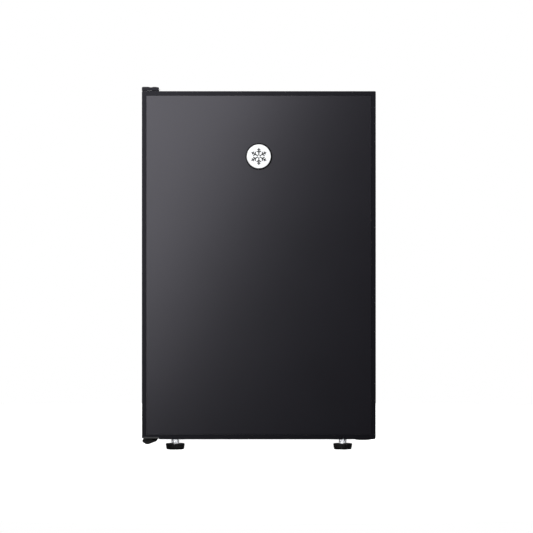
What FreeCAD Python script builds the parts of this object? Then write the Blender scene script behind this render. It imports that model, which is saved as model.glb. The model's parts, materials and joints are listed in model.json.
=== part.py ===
import FreeCAD, Part

import math
import os

import Sketcher

# A counter-height mini fridge: a foamed steel cabinet with a compressor bay at the lower rear, a
# framed door hinged on the left, an ice box with its flap, wire shelves, door racks and a
# wire-on-tube condenser.
# Millimetres, +Z up, the door faces -Y, and the origin is the middle of the footprint on the floor.

doc = FreeCAD.newDocument("mini_fridge")
sheet = doc.addObject("Spreadsheet::Sheet", "dims")


# --------------------------------------------------------------------------------------------------
# Sizes: a number together with the spreadsheet expression that gives it
# --------------------------------------------------------------------------------------------------


def number(length):
    """The plain number of a size or a number."""
    return length.value if isinstance(length, Size) else float(length)


def words(length):
    """The expression of a size, or a number written so that an expression can hold it."""
    return length.text if isinstance(length, Size) else "(%r)" % float(length)


class Size:
    """A length that carries its value and the expression that FreeCAD binds to."""

    def __init__(self, value, text):
        self.value = value
        self.text = text

    def joined(self, sign, other, value, swap=False):
        first, second = (words(other), self.text) if swap else (self.text, words(other))
        return Size(value, "(%s %s %s)" % (first, sign, second))

    def __add__(self, other):
        return self.joined("+", other, self.value + number(other))

    def __radd__(self, other):
        return self.joined("+", other, number(other) + self.value, True)

    def __sub__(self, other):
        return self.joined("-", other, self.value - number(other))

    def __rsub__(self, other):
        return self.joined("-", other, number(other) - self.value, True)

    def __mul__(self, other):
        return self.joined("*", other, self.value * number(other))

    def __rmul__(self, other):
        return self.joined("*", other, number(other) * self.value, True)

    def __truediv__(self, other):
        return self.joined("/", other, self.value / number(other))

    def __neg__(self):
        return Size(-self.value, "(0 - %s)" % self.text)


def size(name, value, note):
    """One row of the sheet: a named driving dimension, read back from its cell."""
    row = size.rows = size.rows + 1
    cell = "B%d" % row
    sheet.set("A%d" % row, name)
    sheet.set(cell, repr(value))
    sheet.set("C%d" % row, note)
    sheet.setAlias(cell, name)
    return Size(float(sheet.getContents(cell)), "dims." + name)


size.rows = 0

# Cabinet
cabinet_width = size("cabinet_width", 430, "outside width")
cabinet_height = size("cabinet_height", 640, "outside height without feet and hinge cover")
cabinet_depth = size("cabinet_depth", 378, "front flange to back panel")
floor_clearance = size("floor_clearance", 26, "floor to the underside of the cabinet")
rear_reach = size("rear_reach", 42, "back panel to the wall side of the spacers")
sheet_thick = size("sheet_thick", 0.8, "steel of the shell and the back panel")
base_thick = size("base_thick", 1.2, "steel of the base plate")
shell_radius = size("shell_radius", 8, "bend of the shell at its top corners")
flange_wide = size("flange_wide", 14, "return flange round the cabinet front")
flange_gap = size("flange_gap", 0.2, "flange to the pieces beside it")
wall_side = size("wall_side", 35, "side wall, outside to inside")
wall_top = size("wall_top", 38, "top wall")
wall_floor = size("wall_floor", 36, "floor wall")
wall_back = size("wall_back", 42, "back wall")
wall_step = size("wall_step", 34, "wall round the compressor bay")
bay_depth = size("bay_depth", 150, "compressor bay, front to back")
bay_height = size("bay_height", 174, "compressor bay, height")
bay_slope = size("bay_slope", 30, "sloped corner of the bay and of the step above it")
liner_thick = size("liner_thick", 1.5, "plastic of both liners")
liner_radius = size("liner_radius", 12, "inside corners of the liner")
touch_gap = size("touch_gap", 0.3, "gap between pieces that move past each other")

# Door
door_drop = size("door_drop", 1, "the door hangs this much below the cabinet")
door_thick = size("door_thick", 48, "frame front to liner flange")
gasket_gap = size("gasket_gap", 10, "door back to cabinet front")
frame_wide = size("frame_wide", 8, "width of the frame seen from the front")
frame_lip = size("frame_lip", 3.5, "thickness of the frame's front lip")
frame_round = size("frame_round", 1.2, "rounding of the frame's outer edges")
top_corner = size("top_corner", 2, "corner radius of the top cap, seen from the front")
low_corner = size("low_corner", 4, "corner radius of the bottom cap's free end")
boss_radius = size("boss_radius", 20.5, "boss under the door's free corner, at its root")
boss_sole = size("boss_sole", 13, "the same boss at its sole")
boss_drop = size("boss_drop", 1.8, "height of the boss")
boss_inset = size("boss_inset", 23, "cabinet side to the middle of the boss")
frame_wall = size("frame_wall", 2.2, "side wall of the door profiles")
panel_thick = size("panel_thick", 0.8, "steel front panel")
panel_recess = size("panel_recess", 0.5, "panel front behind the frame front")
panel_gap = size("panel_gap", 0.2, "panel edge to frame")
foam_short = size("foam_short", 2, "frame to the foam behind the panel")
gasket_wide = size("gasket_wide", 14, "width of the gasket")
gasket_inset = size("gasket_inset", 12, "door edge to gasket edge")
liner_edge = size("liner_edge", 1.5, "door edge to the edge of its liner")
gasket_wall = size("gasket_wall", 2, "rubber round the gasket's magnet channel")
magnet_thick = size("magnet_thick", 3, "magnet strip in the gasket")
dyke_deep = size("dyke_deep", 40, "door liner's side ribs, door back to their tips")
dyke_wide = size("dyke_wide", 18, "width of a side rib")
dyke_half = size("dyke_half", 149, "door middle to a rib's inner face")
dyke_low = size("dyke_low", 41, "rib ends above the door bottom")
dyke_high = size("dyke_high", 468, "rib tops above the door bottom")
grip_length = size("grip_length", 150, "finger grip in the door edge, its height")
grip_wide = size("grip_wide", 22, "finger grip, front to back")
grip_deep = size("grip_deep", 18, "finger grip, into the door")
grip_wall = size("grip_wall", 2, "wall of the finger grip")
grip_setback = size("grip_setback", 12, "door front to the finger grip")
grip_middle = size("grip_middle", 330, "middle of the grip above the door bottom")

# Badge
badge_proud = size("badge_proud", 2, "badge in front of the door frame")
badge_radius = size("badge_radius", 22.3, "bright face of the badge")
badge_rim = size("badge_rim", 2.1, "width of the dark ring round it")
badge_ring_proud = size("badge_ring_proud", 1.4, "ring in front of the door frame")
badge_drop = size("badge_drop", 120, "door top to badge centre")

# Hinges
pin_inset = size("pin_inset", 10, "cabinet side to hinge axis")
pin_back = size("pin_back", 23, "door front to hinge axis")
pin_radius = size("pin_radius", 3, "hinge pin")
pin_reach = size("pin_reach", 14, "pin inside the door")
running_gap = size("running_gap", 0.08, "radial clearance of a pin in its bush")
bush_wall = size("bush_wall", 2.4, "wall of a hinge bush")
hinge_wide = size("hinge_wide", 26, "width of the hinge plates")
hinge_side = size("hinge_side", 2, "cabinet side to a hinge plate")
hinge_nose = size("hinge_nose", 8, "door front to the nose of a hinge plate")
top_plate_thick = size("top_plate_thick", 2.5, "top hinge plate")
low_plate_thick = size("low_plate_thick", 3, "lower hinge plate")
hinge_grip = size("hinge_grip", 72, "hinge plate behind the cabinet front")
screw_radius = size("screw_radius", 2.1, "shank of the self-tapping screws")
screw_head = size("screw_head", 3.8, "radius of their heads")
screw_head_tall = size("screw_head_tall", 1.9, "height of their heads")
screw_long = size("screw_long", 12, "length under the head")
screw_gap = size("screw_gap", 0.2, "hole round a screw")
cover_over = size("cover_over", 3.5, "top hinge cover beyond the hinge plate")
cover_tall = size("cover_tall", 7.3, "top hinge cover above the cabinet")
cover_wall = size("cover_wall", 1.4, "wall of the cover")
cover_back = size("cover_back", 92, "cover behind the cabinet front")
corner_notch = size("corner_notch", 4.6, "notch of the bottom cap over the lower hinge")
notch_beside = size("notch_beside", 3, "notch beyond the hinge plate")
hinge_air = size("hinge_air", 0.8, "air between the door and the hinge plates")

# Ice box
ice_half = size("ice_half", 160, "half width of the evaporator")
ice_tall = size("ice_tall", 92, "height of the evaporator")
ice_deep = size("ice_deep", 215, "depth of the evaporator")
ice_thick = size("ice_thick", 1.6, "evaporator plate")
ice_drop = size("ice_drop", 14, "liner ceiling to the evaporator")
ice_back = size("ice_back", 16, "liner back to the evaporator")
ice_bend = size("ice_bend", 10, "outside bend radius of the evaporator")
joint_size = size("joint_size", 6, "half width of the tube joints on the evaporator")
ice_frame_deep = size("ice_frame_deep", 12, "ice box frame, front to back")
ice_frame_over = size("ice_frame_over", 8, "frame beyond the evaporator")
ice_frame_lap = size("ice_frame_lap", 6, "frame inside the evaporator's outline")
flap_pin_radius = size("flap_pin_radius", 2, "flap pin")
flap_pin_forward = size("flap_pin_forward", 6, "frame front to flap axis")
flap_pin_drop = size("flap_pin_drop", 8, "frame top to flap axis")
flap_knuckle = size("flap_knuckle", 4.5, "radius of the flap's knuckle")
flap_thick = size("flap_thick", 4.5, "flap panel")
flap_tall = size("flap_tall", 92, "flap axis to the flap's lower edge")
flap_pull_half = size("flap_pull_half", 45, "half width of the flap's finger lip")
flap_pull_deep = size("flap_pull_deep", 7, "flap's finger lip from its face")
flap_pull_thick = size("flap_pull_thick", 3, "flap's finger lip, its thickness")
ear_reach = size("ear_reach", 3, "ear in front of the flap's pin")
ear_half = size("ear_half", 6, "half height of an ear")
hanger_inset = size("hanger_inset", 40, "ice box's side to the middle of a hanger")
hanger_half = size("hanger_half", 11, "half width of a hanger")
hanger_deep = size("hanger_deep", 16, "hanger, front to back")
ear_wide = size("ear_wide", 7, "frame ear that holds a flap pin")

# Inside fittings
ledge_proud = size("ledge_proud", 14, "shelf ledge from the liner wall")
ledge_tall = size("ledge_tall", 5, "height of a shelf ledge")
ledge_front = size("ledge_front", 84, "cabinet front to the ledges")
ledge_short = size("ledge_short", 10, "ledge end to the liner back")
shelf_high = size("shelf_high", 374, "upper shelf above the cabinet's underside")
shelf_low = size("shelf_low", 230, "lower shelf above the cabinet's underside")
shelf_front = size("shelf_front", 90, "cabinet front to the shelves")
shelf_short = size("shelf_short", 14, "shelf to the liner back")
shelf_side = size("shelf_side", 9, "liner side to the shelf's side rod")
shelf_rod = size("shelf_rod", 2.5, "radius of the shelf's frame rod")
shelf_wire = size("shelf_wire", 1.4, "radius of the shelf's long wires")
shelf_bend = size("shelf_bend", 14, "corner radius of the shelf's frame")
shelf_weld = size("shelf_weld", 0.5, "wires sunk into the frame rod by their welds")
shelf_wires = 13
tray_side = size("tray_side", 17, "liner wall to the side of the drip tray")
tray_pull_half = size("tray_pull_half", 50, "half width of the tray's pull")
tray_pull_deep = size("tray_pull_deep", 9, "tray's pull in front of the tray")
tray_tall = size("tray_tall", 15, "height of the drip tray")
tray_drop = size("tray_drop", 12, "evaporator to the drip tray's rim")
tray_wall = size("tray_wall", 1.6, "wall of the drip tray")
tray_lip = size("tray_lip", 9, "rim of the drip tray that rides on the ledges")
tray_front = size("tray_front", 96, "cabinet front to the drip tray")
tray_deep = size("tray_deep", 215, "drip tray, front to back")
rack_half = size("rack_half", 148, "half width of a door rack")
rack_deep = size("rack_deep", 70, "door rack, front to back")
rack_wall = size("rack_wall", 2.2, "wall of a door rack")
rack_radius = size("rack_radius", 9, "outside corners of a door rack")
rack_lift = size("rack_lift", 15, "lift that frees a rack from its pegs")
peg_size = size("peg_size", 8, "peg that carries a rack")
peg_proud = size("peg_proud", 3, "peg from the rib")
peg_slot_gap = size("peg_slot_gap", 0.4, "slot round a peg")
upper_rack_high = size("upper_rack_high", 358, "upper rack above the door bottom")
upper_rack_tall = size("upper_rack_tall", 62, "upper rack's height")
lower_rack_high = size("lower_rack_high", 48, "bottle rack above the door bottom")
lower_rack_tall = size("lower_rack_tall", 96, "bottle rack's height")
stat_wide = size("stat_wide", 34, "thermostat housing from the liner wall")
stat_deep = size("stat_deep", 104, "thermostat housing, front to back")
stat_tall = size("stat_tall", 52, "thermostat housing's height")
stat_high = size("stat_high", 410, "thermostat housing above the cabinet's underside")
stat_front = size("stat_front", 110, "cabinet front to the housing")
stat_wall = size("stat_wall", 2, "wall of the housing")
knob_radius = size("knob_radius", 13.4, "thermostat knob")
knob_long = size("knob_long", 12, "knob's length")
shaft_radius = size("shaft_radius", 3, "thermostat shaft")
knob_shaft = size("knob_shaft", 13, "length of the shaft")

# Cooling system
compressor_long = size("compressor_long", 150, "compressor, left to right")
compressor_deep = size("compressor_deep", 106, "compressor, front to back")
compressor_low = size("compressor_low", 56, "lower shell's height")
compressor_high = size("compressor_high", 62, "upper shell's height")
compressor_seam = size("compressor_seam", 3, "weld flange beyond the shells")
compressor_wall = size("compressor_wall", 3, "steel of the compressor shells")
motor_radius = size("motor_radius", 36, "pump and motor inside the compressor")
motor_tall = size("motor_tall", 84, "pump and motor, their height")
port_long = size("port_long", 8, "pipe stubs of the compressor")
port_wall = size("port_wall", 1.4, "wall of a stub round its tube")
starter_reach = size("starter_reach", 30, "starter box from the compressor's side")
starter_half = size("starter_half", 26, "half depth of the starter box")
starter_above = size("starter_above", 12, "compressor's underside to the starter box")
starter_below = size("starter_below", 4, "starter box to the compressor's seam")
compressor_left = size("compressor_left", 20, "compressor middle, left of the cabinet middle")
grommet_tall = size("grommet_tall", 14, "rubber feet of the compressor")
grommet_radius = size("grommet_radius", 9, "rubber foot")
feet_thick = size("feet_thick", 3, "compressor foot plate")
feet_long = size("feet_long", 188, "foot plate, left to right")
feet_deep = size("feet_deep", 96, "foot plate, front to back")
bolt_radius = size("bolt_radius", 3, "compressor bolt")
carrier_thick = size("carrier_thick", 2, "steel of the compressor tray")
carrier_fold = size("carrier_fold", 14, "folded edges of the compressor tray")
inlet_wide = size("inlet_wide", 46, "tab that holds the mains inlet")
inlet_high = size("inlet_high", 88, "mains inlet above the cabinet's underside")
inlet_radius = size("inlet_radius", 8, "hole in the tab")
cord_radius = size("cord_radius", 4.2, "bore of the cord gland")
gland_brim = size("gland_brim", 3, "gland's brim round the hole, and its thickness")
gland_front = size("gland_front", 14, "gland inside the tray")
gland_rear = size("gland_rear", 11, "gland behind the tab")
condenser_off = size("condenser_off", 24, "back panel to the condenser's middle plane")
coil_radius = size("coil_radius", 2.4, "condenser tube")
coil_half = size("coil_half", 176, "half width of the condenser")
coil_pitch = size("coil_pitch", 34, "condenser runs, one above the other")
coil_start = size("coil_start", 206, "lowest run above the cabinet's underside")
coil_runs = 12
wire_radius = size("wire_radius", 0.8, "condenser wire")
wire_pitch = size("wire_pitch", 8, "condenser wires, side by side")
wire_count = 41
rail_foot = size("rail_foot", 14, "half width of a condenser rail over its flanges")
rail_head = size("rail_head", 6, "half width of a condenser rail's raised middle")
rail_thick = size("rail_thick", 1, "steel of a condenser rail")
rail_short = size("rail_short", 20, "wire's end to a rail's end")
spacer_half = size("spacer_half", 14, "half width of a wall spacer")
spacer_tall = size("spacer_tall", 12, "wall spacer's height")
spacer_over = size("spacer_over", 6, "condenser wires to a wall spacer")
drier_radius = size("drier_radius", 9, "filter drier")
drier_long = size("drier_long", 62, "filter drier's body")
suction_radius = size("suction_radius", 3.2, "suction tube")
capillary_radius = size("capillary_radius", 1.1, "capillary tube")
tube_bend = size("tube_bend", 9, "bend radius of the tubes")
capillary_behind = size("capillary_behind", 4, "capillary's riser behind the bay's slope")
capillary_lead = size("capillary_lead", 14, "capillary's straight run out of the drier")
drier_tip = size("drier_tip", 5, "capillary's stub on the drier")

# Feet
foot_spread = size("foot_spread", 157, "cabinet middle to a foot")
foot_radius = size("foot_radius", 17.8, "front foot at its top")
foot_tall = size("foot_tall", 11.2, "front foot pad's height")
foot_taper = size("foot_taper", 1.4, "pad radius lost towards the floor")
foot_back = size("foot_back", 45, "cabinet front to the front feet")
stud_radius = size("stud_radius", 4, "levelling stud")
stud_long = size("stud_long", 34, "stud above the pad")
stud_collar = size("stud_collar", 3.4, "stud's collar beyond the thread")
stud_collar_tall = size("stud_collar_tall", 3, "stud's collar, its height")
socket_wall = size("socket_wall", 3, "wall of the stud's socket")
socket_deep = size("socket_deep", 31, "socket above the cabinet's underside")
rear_foot_radius = size("rear_foot_radius", 15, "fixed rear foot")
rear_foot_inset = size("rear_foot_inset", 32, "back panel to a rear foot")

doc.recompute()

# Places worked out from the sizes
overall_depth = badge_proud + door_thick + gasket_gap + cabinet_depth + rear_reach
badge_front = -overall_depth / 2
door_front = badge_front + badge_proud
door_back = door_front + door_thick
cabinet_front = door_back + gasket_gap
cabinet_back = cabinet_front + cabinet_depth
wall_plane = cabinet_back + rear_reach
half_width = cabinet_width / 2
cabinet_bottom = floor_clearance
cabinet_top = floor_clearance + cabinet_height
door_bottom = floor_clearance - door_drop
door_top = cabinet_top - door_drop
inner_half = half_width - wall_side
inner_floor = cabinet_bottom + wall_floor
inner_top = cabinet_top - wall_top
inner_back = cabinet_back - wall_back
bay_front = cabinet_back - bay_depth
bay_top = cabinet_bottom + bay_height
step_front = bay_front - wall_step
step_top = bay_top + wall_step
tray_half = inner_half - tray_side
cover_wide = hinge_side + hinge_wide + cover_over
pin_x = pin_inset - half_width
pin_y = door_front + pin_back
ice_top = inner_top - ice_drop
ice_bottom = ice_top - ice_tall
ice_rear = inner_back - ice_back
ice_front = ice_rear - ice_deep
frame_front = ice_front - ice_frame_deep
frame_top = ice_top + ice_frame_over
flap_axis_y = frame_front - flap_pin_forward
flap_axis_z = frame_top - flap_pin_drop
TAN_22 = math.tan(math.radians(22.5))


# --------------------------------------------------------------------------------------------------
# Building blocks
# --------------------------------------------------------------------------------------------------

TURNS = {
    "x": FreeCAD.Rotation(FreeCAD.Vector(0, 1, 0), 90),
    "-x": FreeCAD.Rotation(FreeCAD.Vector(0, 1, 0), -90),
    "y": FreeCAD.Rotation(FreeCAD.Vector(1, 0, 0), -90),
    "-y": FreeCAD.Rotation(FreeCAD.Vector(1, 0, 0), 90),
    "z": FreeCAD.Rotation(),
    "-z": FreeCAD.Rotation(FreeCAD.Vector(1, 0, 0), 180),
}
subparts = []
swept = []


def node(piece, name):
    """Name a finished piece as a sub-part of its own."""
    piece.Label = name
    subparts.append(piece)
    return piece


def place(piece, at, towards="z"):
    """Put a piece at a point, its own Z axis along a direction."""
    piece.Placement = FreeCAD.Placement(FreeCAD.Vector(), TURNS[towards])
    for axis, length in zip("xyz", at):
        piece.setExpression("Placement.Base." + axis, words(length))
    return piece


def box(name, low, high):
    """A block between two corners."""
    piece = doc.addObject("Part::Box", name)
    for side, start, end in zip(("Length", "Width", "Height"), low, high):
        piece.setExpression(side, words(end - start))
    return place(piece, low)


def cylinder(name, radius, length, at, towards="z"):
    """A round bar from a point along a direction."""
    piece = doc.addObject("Part::Cylinder", name)
    piece.setExpression("Radius", words(radius))
    piece.setExpression("Height", words(length))
    return place(piece, at, towards)


def fuse(name, pieces):
    """Pieces joined into one solid."""
    piece = doc.addObject("Part::MultiFuse", name)
    piece.Shapes = pieces
    piece.Refine = True
    return piece


def group(name, pieces):
    """Separate solids kept as one object."""
    piece = doc.addObject("Part::Compound", name)
    piece.Links = pieces
    return piece


def cut(name, base, tools):
    """A piece with others taken out of it."""
    piece = doc.addObject("Part::Cut", name)
    piece.Base = base
    piece.Tool = tools[0] if len(tools) == 1 else group(name + "_tools", tools)
    return piece


def outline(body, name, plane, points):
    """A closed sketch on one of the body's own planes, each corner bound to the sheet."""
    sketch = body.newObject("Sketcher::SketchObject", name)
    base = [feature for feature in body.Origin.OriginFeatures if feature.Role == plane + "_Plane"][0]
    sketch.AttachmentSupport = [(base, "")]
    sketch.MapMode = "FlatFace"
    corners = [FreeCAD.Vector(number(across), number(up), 0) for across, up in points]
    count = len(corners)
    for index in range(count):
        sketch.addGeometry(Part.LineSegment(corners[index], corners[(index + 1) % count]), False)
    for index in range(count):
        sketch.addConstraint(Sketcher.Constraint("Coincident", index, 2, (index + 1) % count, 1))
    for index, (across, up) in enumerate(points):
        for kind, letter, length in (("DistanceX", "x", across), ("DistanceY", "y", up)):
            title = "%s%d" % (letter, index)
            constraint = Sketcher.Constraint(kind, -1, 1, index, 1, number(length))
            sketch.renameConstraint(sketch.addConstraint(constraint), title)
            if isinstance(length, Size):
                sketch.setExpression("Constraints." + title, words(length))
    return sketch


def prism(name, plane, points, start, end):
    """A body padded from an outline on XY, XZ or YZ, between two places on the remaining axis."""
    body = doc.addObject("PartDesign::Body", name)
    pad = body.newObject("PartDesign::Pad", name + "_pad")
    pad.Profile = outline(body, name + "_outline", plane, points)
    pad.setExpression("Length", words(end - start))
    axis, base = {"XY": ("z", start), "XZ": ("y", end), "YZ": ("x", start)}[plane]
    body.setExpression("Placement.Base." + axis, words(base))
    return body


def turned(name, points, at=(0, 0, 0), towards="z"):
    """A body turned from a profile of (radius, height) corners round its own Z axis."""
    body = doc.addObject("PartDesign::Body", name)
    spin = body.newObject("PartDesign::Revolution", name + "_turn")
    spin.Profile = outline(body, name + "_profile", "XZ", points)
    spin.ReferenceAxis = (spin.Profile[0], ["V_Axis"])
    spin.Angle = 360
    return place(body, at, towards)


def rounded(body, radius, wanted):
    """Round the edges of a body that a test picks, by their two ends in the body's own frame."""
    doc.recompute()
    tip = body.Tip
    names = []
    for index, edge in enumerate(tip.Shape.Edges):
        ends = [vertex.Point for vertex in edge.Vertexes]
        if len(ends) == 2 and wanted(ends[0], ends[1]):
            names.append("Edge%d" % (index + 1))
    fillet = body.newObject("PartDesign::Fillet", body.Name + "_round%d" % len(body.Group))
    fillet.Base = (tip, names)
    fillet.setExpression("Radius", words(radius))
    return body


def along(axis):
    """A test for edges that run along one axis."""
    others = [other for other in "xyz" if other != axis]
    return lambda one, two: all(abs(getattr(one, o) - getattr(two, o)) < 1e-6 for o in others)


def level(axis, height):
    """A test for edges that lie at one height on an axis."""
    return lambda one, two: all(abs(getattr(end, axis) - number(height)) < 1e-6 for end in (one, two))


def both(first, second):
    """A test that two tests agree on."""
    return lambda one, two: first(one, two) and second(one, two)


def either(first, second):
    """A test that one of two tests passes."""
    return lambda one, two: first(one, two) or second(one, two)


def block(name, low, high, radius, wanted):
    """A block with some of its edges rounded."""
    corners = [(low[0], low[1]), (high[0], low[1]), (high[0], high[1]), (low[0], high[1])]
    return rounded(prism(name, "XY", corners, low[2], high[2]), radius, wanted)


def bent_path(places, bend):
    """The edges of straight runs joined by tangent arcs."""
    last = len(places) - 1
    corners = {}
    for index in range(1, last):
        before = (places[index - 1] - places[index]).normalize()
        after = (places[index + 1] - places[index]).normalize()
        half = before.getAngle(after) / 2
        back = bend / math.tan(half)
        middle = places[index] + (before + after).normalize() * (bend / math.sin(half) - bend)
        corners[index] = (places[index] + before * back, middle, places[index] + after * back)
    edges = []
    for index in range(last):
        start = corners[index][2] if index in corners else places[index]
        end = corners[index + 1][0] if index + 1 in corners else places[index + 1]
        edges.append(Part.LineSegment(start, end).toShape())
        if index + 1 in corners:
            edges.append(Part.Arc(*corners[index + 1]).toShape())
    return edges


def tube(name, points, radius, bend):
    """A round bar swept along straight runs and tangent arcs."""
    places = [FreeCAD.Vector(*[number(length) for length in point]) for point in points]
    path = doc.addObject("Part::Feature", name + "_path")
    path.Shape = Part.Wire(bent_path(places, number(bend)))
    path.Placement = FreeCAD.Placement()
    ring = doc.addObject("Part::Circle", name + "_ring")
    ring.setExpression("Radius", words(radius))
    ring.Placement = FreeCAD.Placement(
        places[0], FreeCAD.Rotation(FreeCAD.Vector(0, 0, 1), places[1] - places[0])
    )
    bar = doc.addObject("Part::Sweep", name)
    bar.Sections = [ring]
    bar.Spine = (path, ["Edge%d" % (index + 1) for index in range(len(path.Shape.Edges))])
    bar.Solid = True
    bar.Frenet = True
    swept.append((bar, math.pi * number(radius) ** 2 * path.Shape.Length))
    return bar


# --------------------------------------------------------------------------------------------------
# Cabinet: shell, back, base, foam and liner
# --------------------------------------------------------------------------------------------------


def shell_profile(name, inset, start, end):
    """A U of folded sheet, seen from the front: two sides and a top."""
    points = [
        (-half_width, cabinet_bottom),
        (-half_width, cabinet_top),
        (half_width, cabinet_top),
        (half_width, cabinet_bottom),
        (half_width - inset, cabinet_bottom),
        (half_width - inset, cabinet_top - inset),
        (inset - half_width, cabinet_top - inset),
        (inset - half_width, cabinet_bottom),
    ]
    body = prism(name, "XZ", points, start, end)
    return rounded(body, shell_radius, both(along("y"), level("z", cabinet_top)))


def make_outer_shell():
    wrap = shell_profile("shell_wrap", sheet_thick, cabinet_front, cabinet_back)
    inner = cabinet_top - sheet_thick
    rounded(wrap, shell_radius - sheet_thick, both(along("y"), level("z", inner)))
    flange = shell_profile("shell_flange", flange_wide, cabinet_front, cabinet_front + sheet_thick)
    folded = fuse("shell_folded", [wrap, flange])
    node(cut("outer_shell", folded, hinge_screw_bores("shell_hole", ("high",))), "outer_shell")


def make_back_panel():
    """One folded sheet: the back, the bay's ceiling, its slope and its front wall."""
    lap = sheet_thick * TAN_22
    roof = cabinet_top - sheet_thick
    points = [
        (cabinet_back, roof),
        (cabinet_back, bay_top),
        (bay_front + bay_slope, bay_top),
        (bay_front, bay_top - bay_slope),
        (bay_front, cabinet_bottom),
        (bay_front - sheet_thick, cabinet_bottom),
        (bay_front - sheet_thick, bay_top - bay_slope + lap),
        (bay_front + bay_slope - lap, bay_top + sheet_thick),
        (cabinet_back - sheet_thick, bay_top + sheet_thick),
        (cabinet_back - sheet_thick, roof),
    ]
    reach = half_width - sheet_thick
    folded = prism("back_folded", "YZ", points, -reach, reach)
    rounded(folded, shell_radius, both(along("y"), level("z", roof)))
    bores = back_screw_bores("back_hole")
    bores.append(pipe_bore("back_suction_hole", suction_radius, bay_top - 1, 3, suction_route()[2]))
    bores.append(pipe_bore("back_capillary_hole", capillary_radius, bay_top - 1, 3, capillary_route()[4]))
    node(cut("back_panel", folded, bores), "back_panel")


def pipe_bore(name, radius, low, tall, beside):
    """An upright hole for a tube, under or over one of the corners of its route."""
    return cylinder(name, radius + touch_gap, tall, (beside[0], beside[1], low))


def foot_place(side):
    """The middle of a front foot on the floor."""
    return side * foot_spread, cabinet_front + foot_back


def make_base_plate():
    """The front floor sheet, folded up at its front, with the sockets that the levelling studs screw into."""
    reach = half_width - sheet_thick
    inside = half_width - flange_wide - flange_gap
    pieces = [
        box(
            "base_sheet",
            (-reach, cabinet_front + sheet_thick, cabinet_bottom),
            (reach, bay_front - sheet_thick, cabinet_bottom + base_thick),
        ),
        box(
            "base_flange",
            (-inside, cabinet_front, cabinet_bottom),
            (inside, cabinet_front + base_thick, cabinet_bottom + flange_wide),
        ),
    ]
    bores = hinge_screw_bores("base_hole", ("low",))
    for side, name in ((-1, "left"), (1, "right")):
        across, back = foot_place(side)
        outer = stud_radius + running_gap + socket_wall
        pieces.append(cylinder("socket_" + name, outer, socket_deep, (across, back, cabinet_bottom)))
        bores.append(
            cylinder(
                "socket_bore_" + name,
                stud_radius + running_gap,
                socket_deep - socket_wall + 1,
                (across, back, cabinet_bottom - 1),
            )
        )
    node(cut("base_plate", fuse("base_sheet_sockets", pieces), bores), "base_plate")


def bolt_places():
    """The four places where the compressor's foot plate is bolted down."""
    return [
        (-compressor_left + side * (feet_long / 2 - 11), bay_middle() + end * (feet_deep / 2 - 12))
        for side in (-1, 1)
        for end in (-1, 1)
    ]


def bay_middle():
    """The compressor's middle, front to back."""
    return cabinet_back - bay_depth / 2


def make_compressor_tray():
    """The carrier plate of the bay: a channel, and a tab spot-welded to it for the mains inlet."""
    low = cabinet_bottom
    top = low + carrier_fold
    points = [
        (bay_front, low),
        (cabinet_back, low),
        (cabinet_back, top),
        (cabinet_back - carrier_thick, top),
        (cabinet_back - carrier_thick, low + carrier_thick),
        (bay_front + carrier_thick, low + carrier_thick),
        (bay_front + carrier_thick, top),
        (bay_front, top),
    ]
    reach = half_width - sheet_thick
    channel = prism("carrier_channel", "YZ", points, -reach, reach)
    tab = box(
        "carrier_tab",
        (-reach, cabinet_back - carrier_thick, top),
        (inlet_wide - half_width, cabinet_back, bay_top - flange_gap),
    )
    through = carrier_thick + 2
    bores = [
        cylinder("carrier_bore%d" % index, bolt_radius + touch_gap, through, (across, back, low - 1))
        for index, (across, back) in enumerate(bolt_places())
    ]
    inlet_hole = cylinder("inlet_hole", inlet_radius, through, inlet_place(-1 - carrier_thick), "y")
    pieces = [cut("carrier_drilled", channel, bores), cut("carrier_tab_drilled", tab, [inlet_hole])]
    node(group("compressor_tray", pieces), "compressor_tray")


def inlet_place(behind):
    """A point on the axis of the mains inlet, this far behind the cabinet's back."""
    return inlet_wide / 2 - half_width, cabinet_back + behind, cabinet_bottom + inlet_high


def cavity(name, grow):
    """The room inside the liner, stepped over the compressor bay, grown by a wall."""
    low, high = inner_floor - grow, inner_top + grow
    step, ledge = step_front + grow, step_top - grow
    slope = bay_slope + grow * (1 - 2 * TAN_22)
    points = [
        (cabinet_front, low),
        (step, low),
        (step, ledge - slope),
        (step + slope, ledge),
        (inner_back + grow, ledge),
        (inner_back + grow, high),
        (cabinet_front, high),
    ]
    body = prism(name, "YZ", points, -inner_half - grow, inner_half + grow)
    corner = liner_radius + grow
    return rounded(body, corner, either(along("y"), along("z")))


def make_cabinet_foam():
    reach = half_width - sheet_thick
    roof = cabinet_top - sheet_thick
    slope = bay_slope - sheet_thick * TAN_22
    front = cabinet_front + liner_thick
    wall = bay_front - sheet_thick
    points = [
        (front, cabinet_bottom + base_thick),
        (wall, cabinet_bottom + base_thick),
        (wall, bay_top - bay_slope + sheet_thick * TAN_22),
        (bay_front + slope, bay_top + sheet_thick),
        (cabinet_back - sheet_thick, bay_top + sheet_thick),
        (cabinet_back - sheet_thick, roof),
        (front, roof),
    ]
    block_body = prism("foam_block", "YZ", points, -reach, reach)
    rounded(block_body, shell_radius, both(along("y"), level("z", roof)))
    hollows = [cavity("foam_hollow", liner_thick)]
    for side, name in ((-1, "left"), (1, "right")):
        across, back = foot_place(side)
        outer = stud_radius + running_gap + socket_wall + touch_gap
        at = (across, back, cabinet_bottom)
        hollows.append(cylinder("foam_pocket_" + name, outer, socket_deep + touch_gap, at))
    hollows += hinge_screw_bores("foam_hole", ("high", "low"))
    hollows += back_screw_bores("foam_back_hole")
    hollows.append(tube("foam_suction_way", suction_route(), suction_radius + touch_gap, tube_bend))
    hollows.append(tube("foam_capillary_way", capillary_route(), capillary_radius + touch_gap, tube_bend))
    node(cut("cabinet_foam", block_body, hollows), "cabinet_foam")


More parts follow.
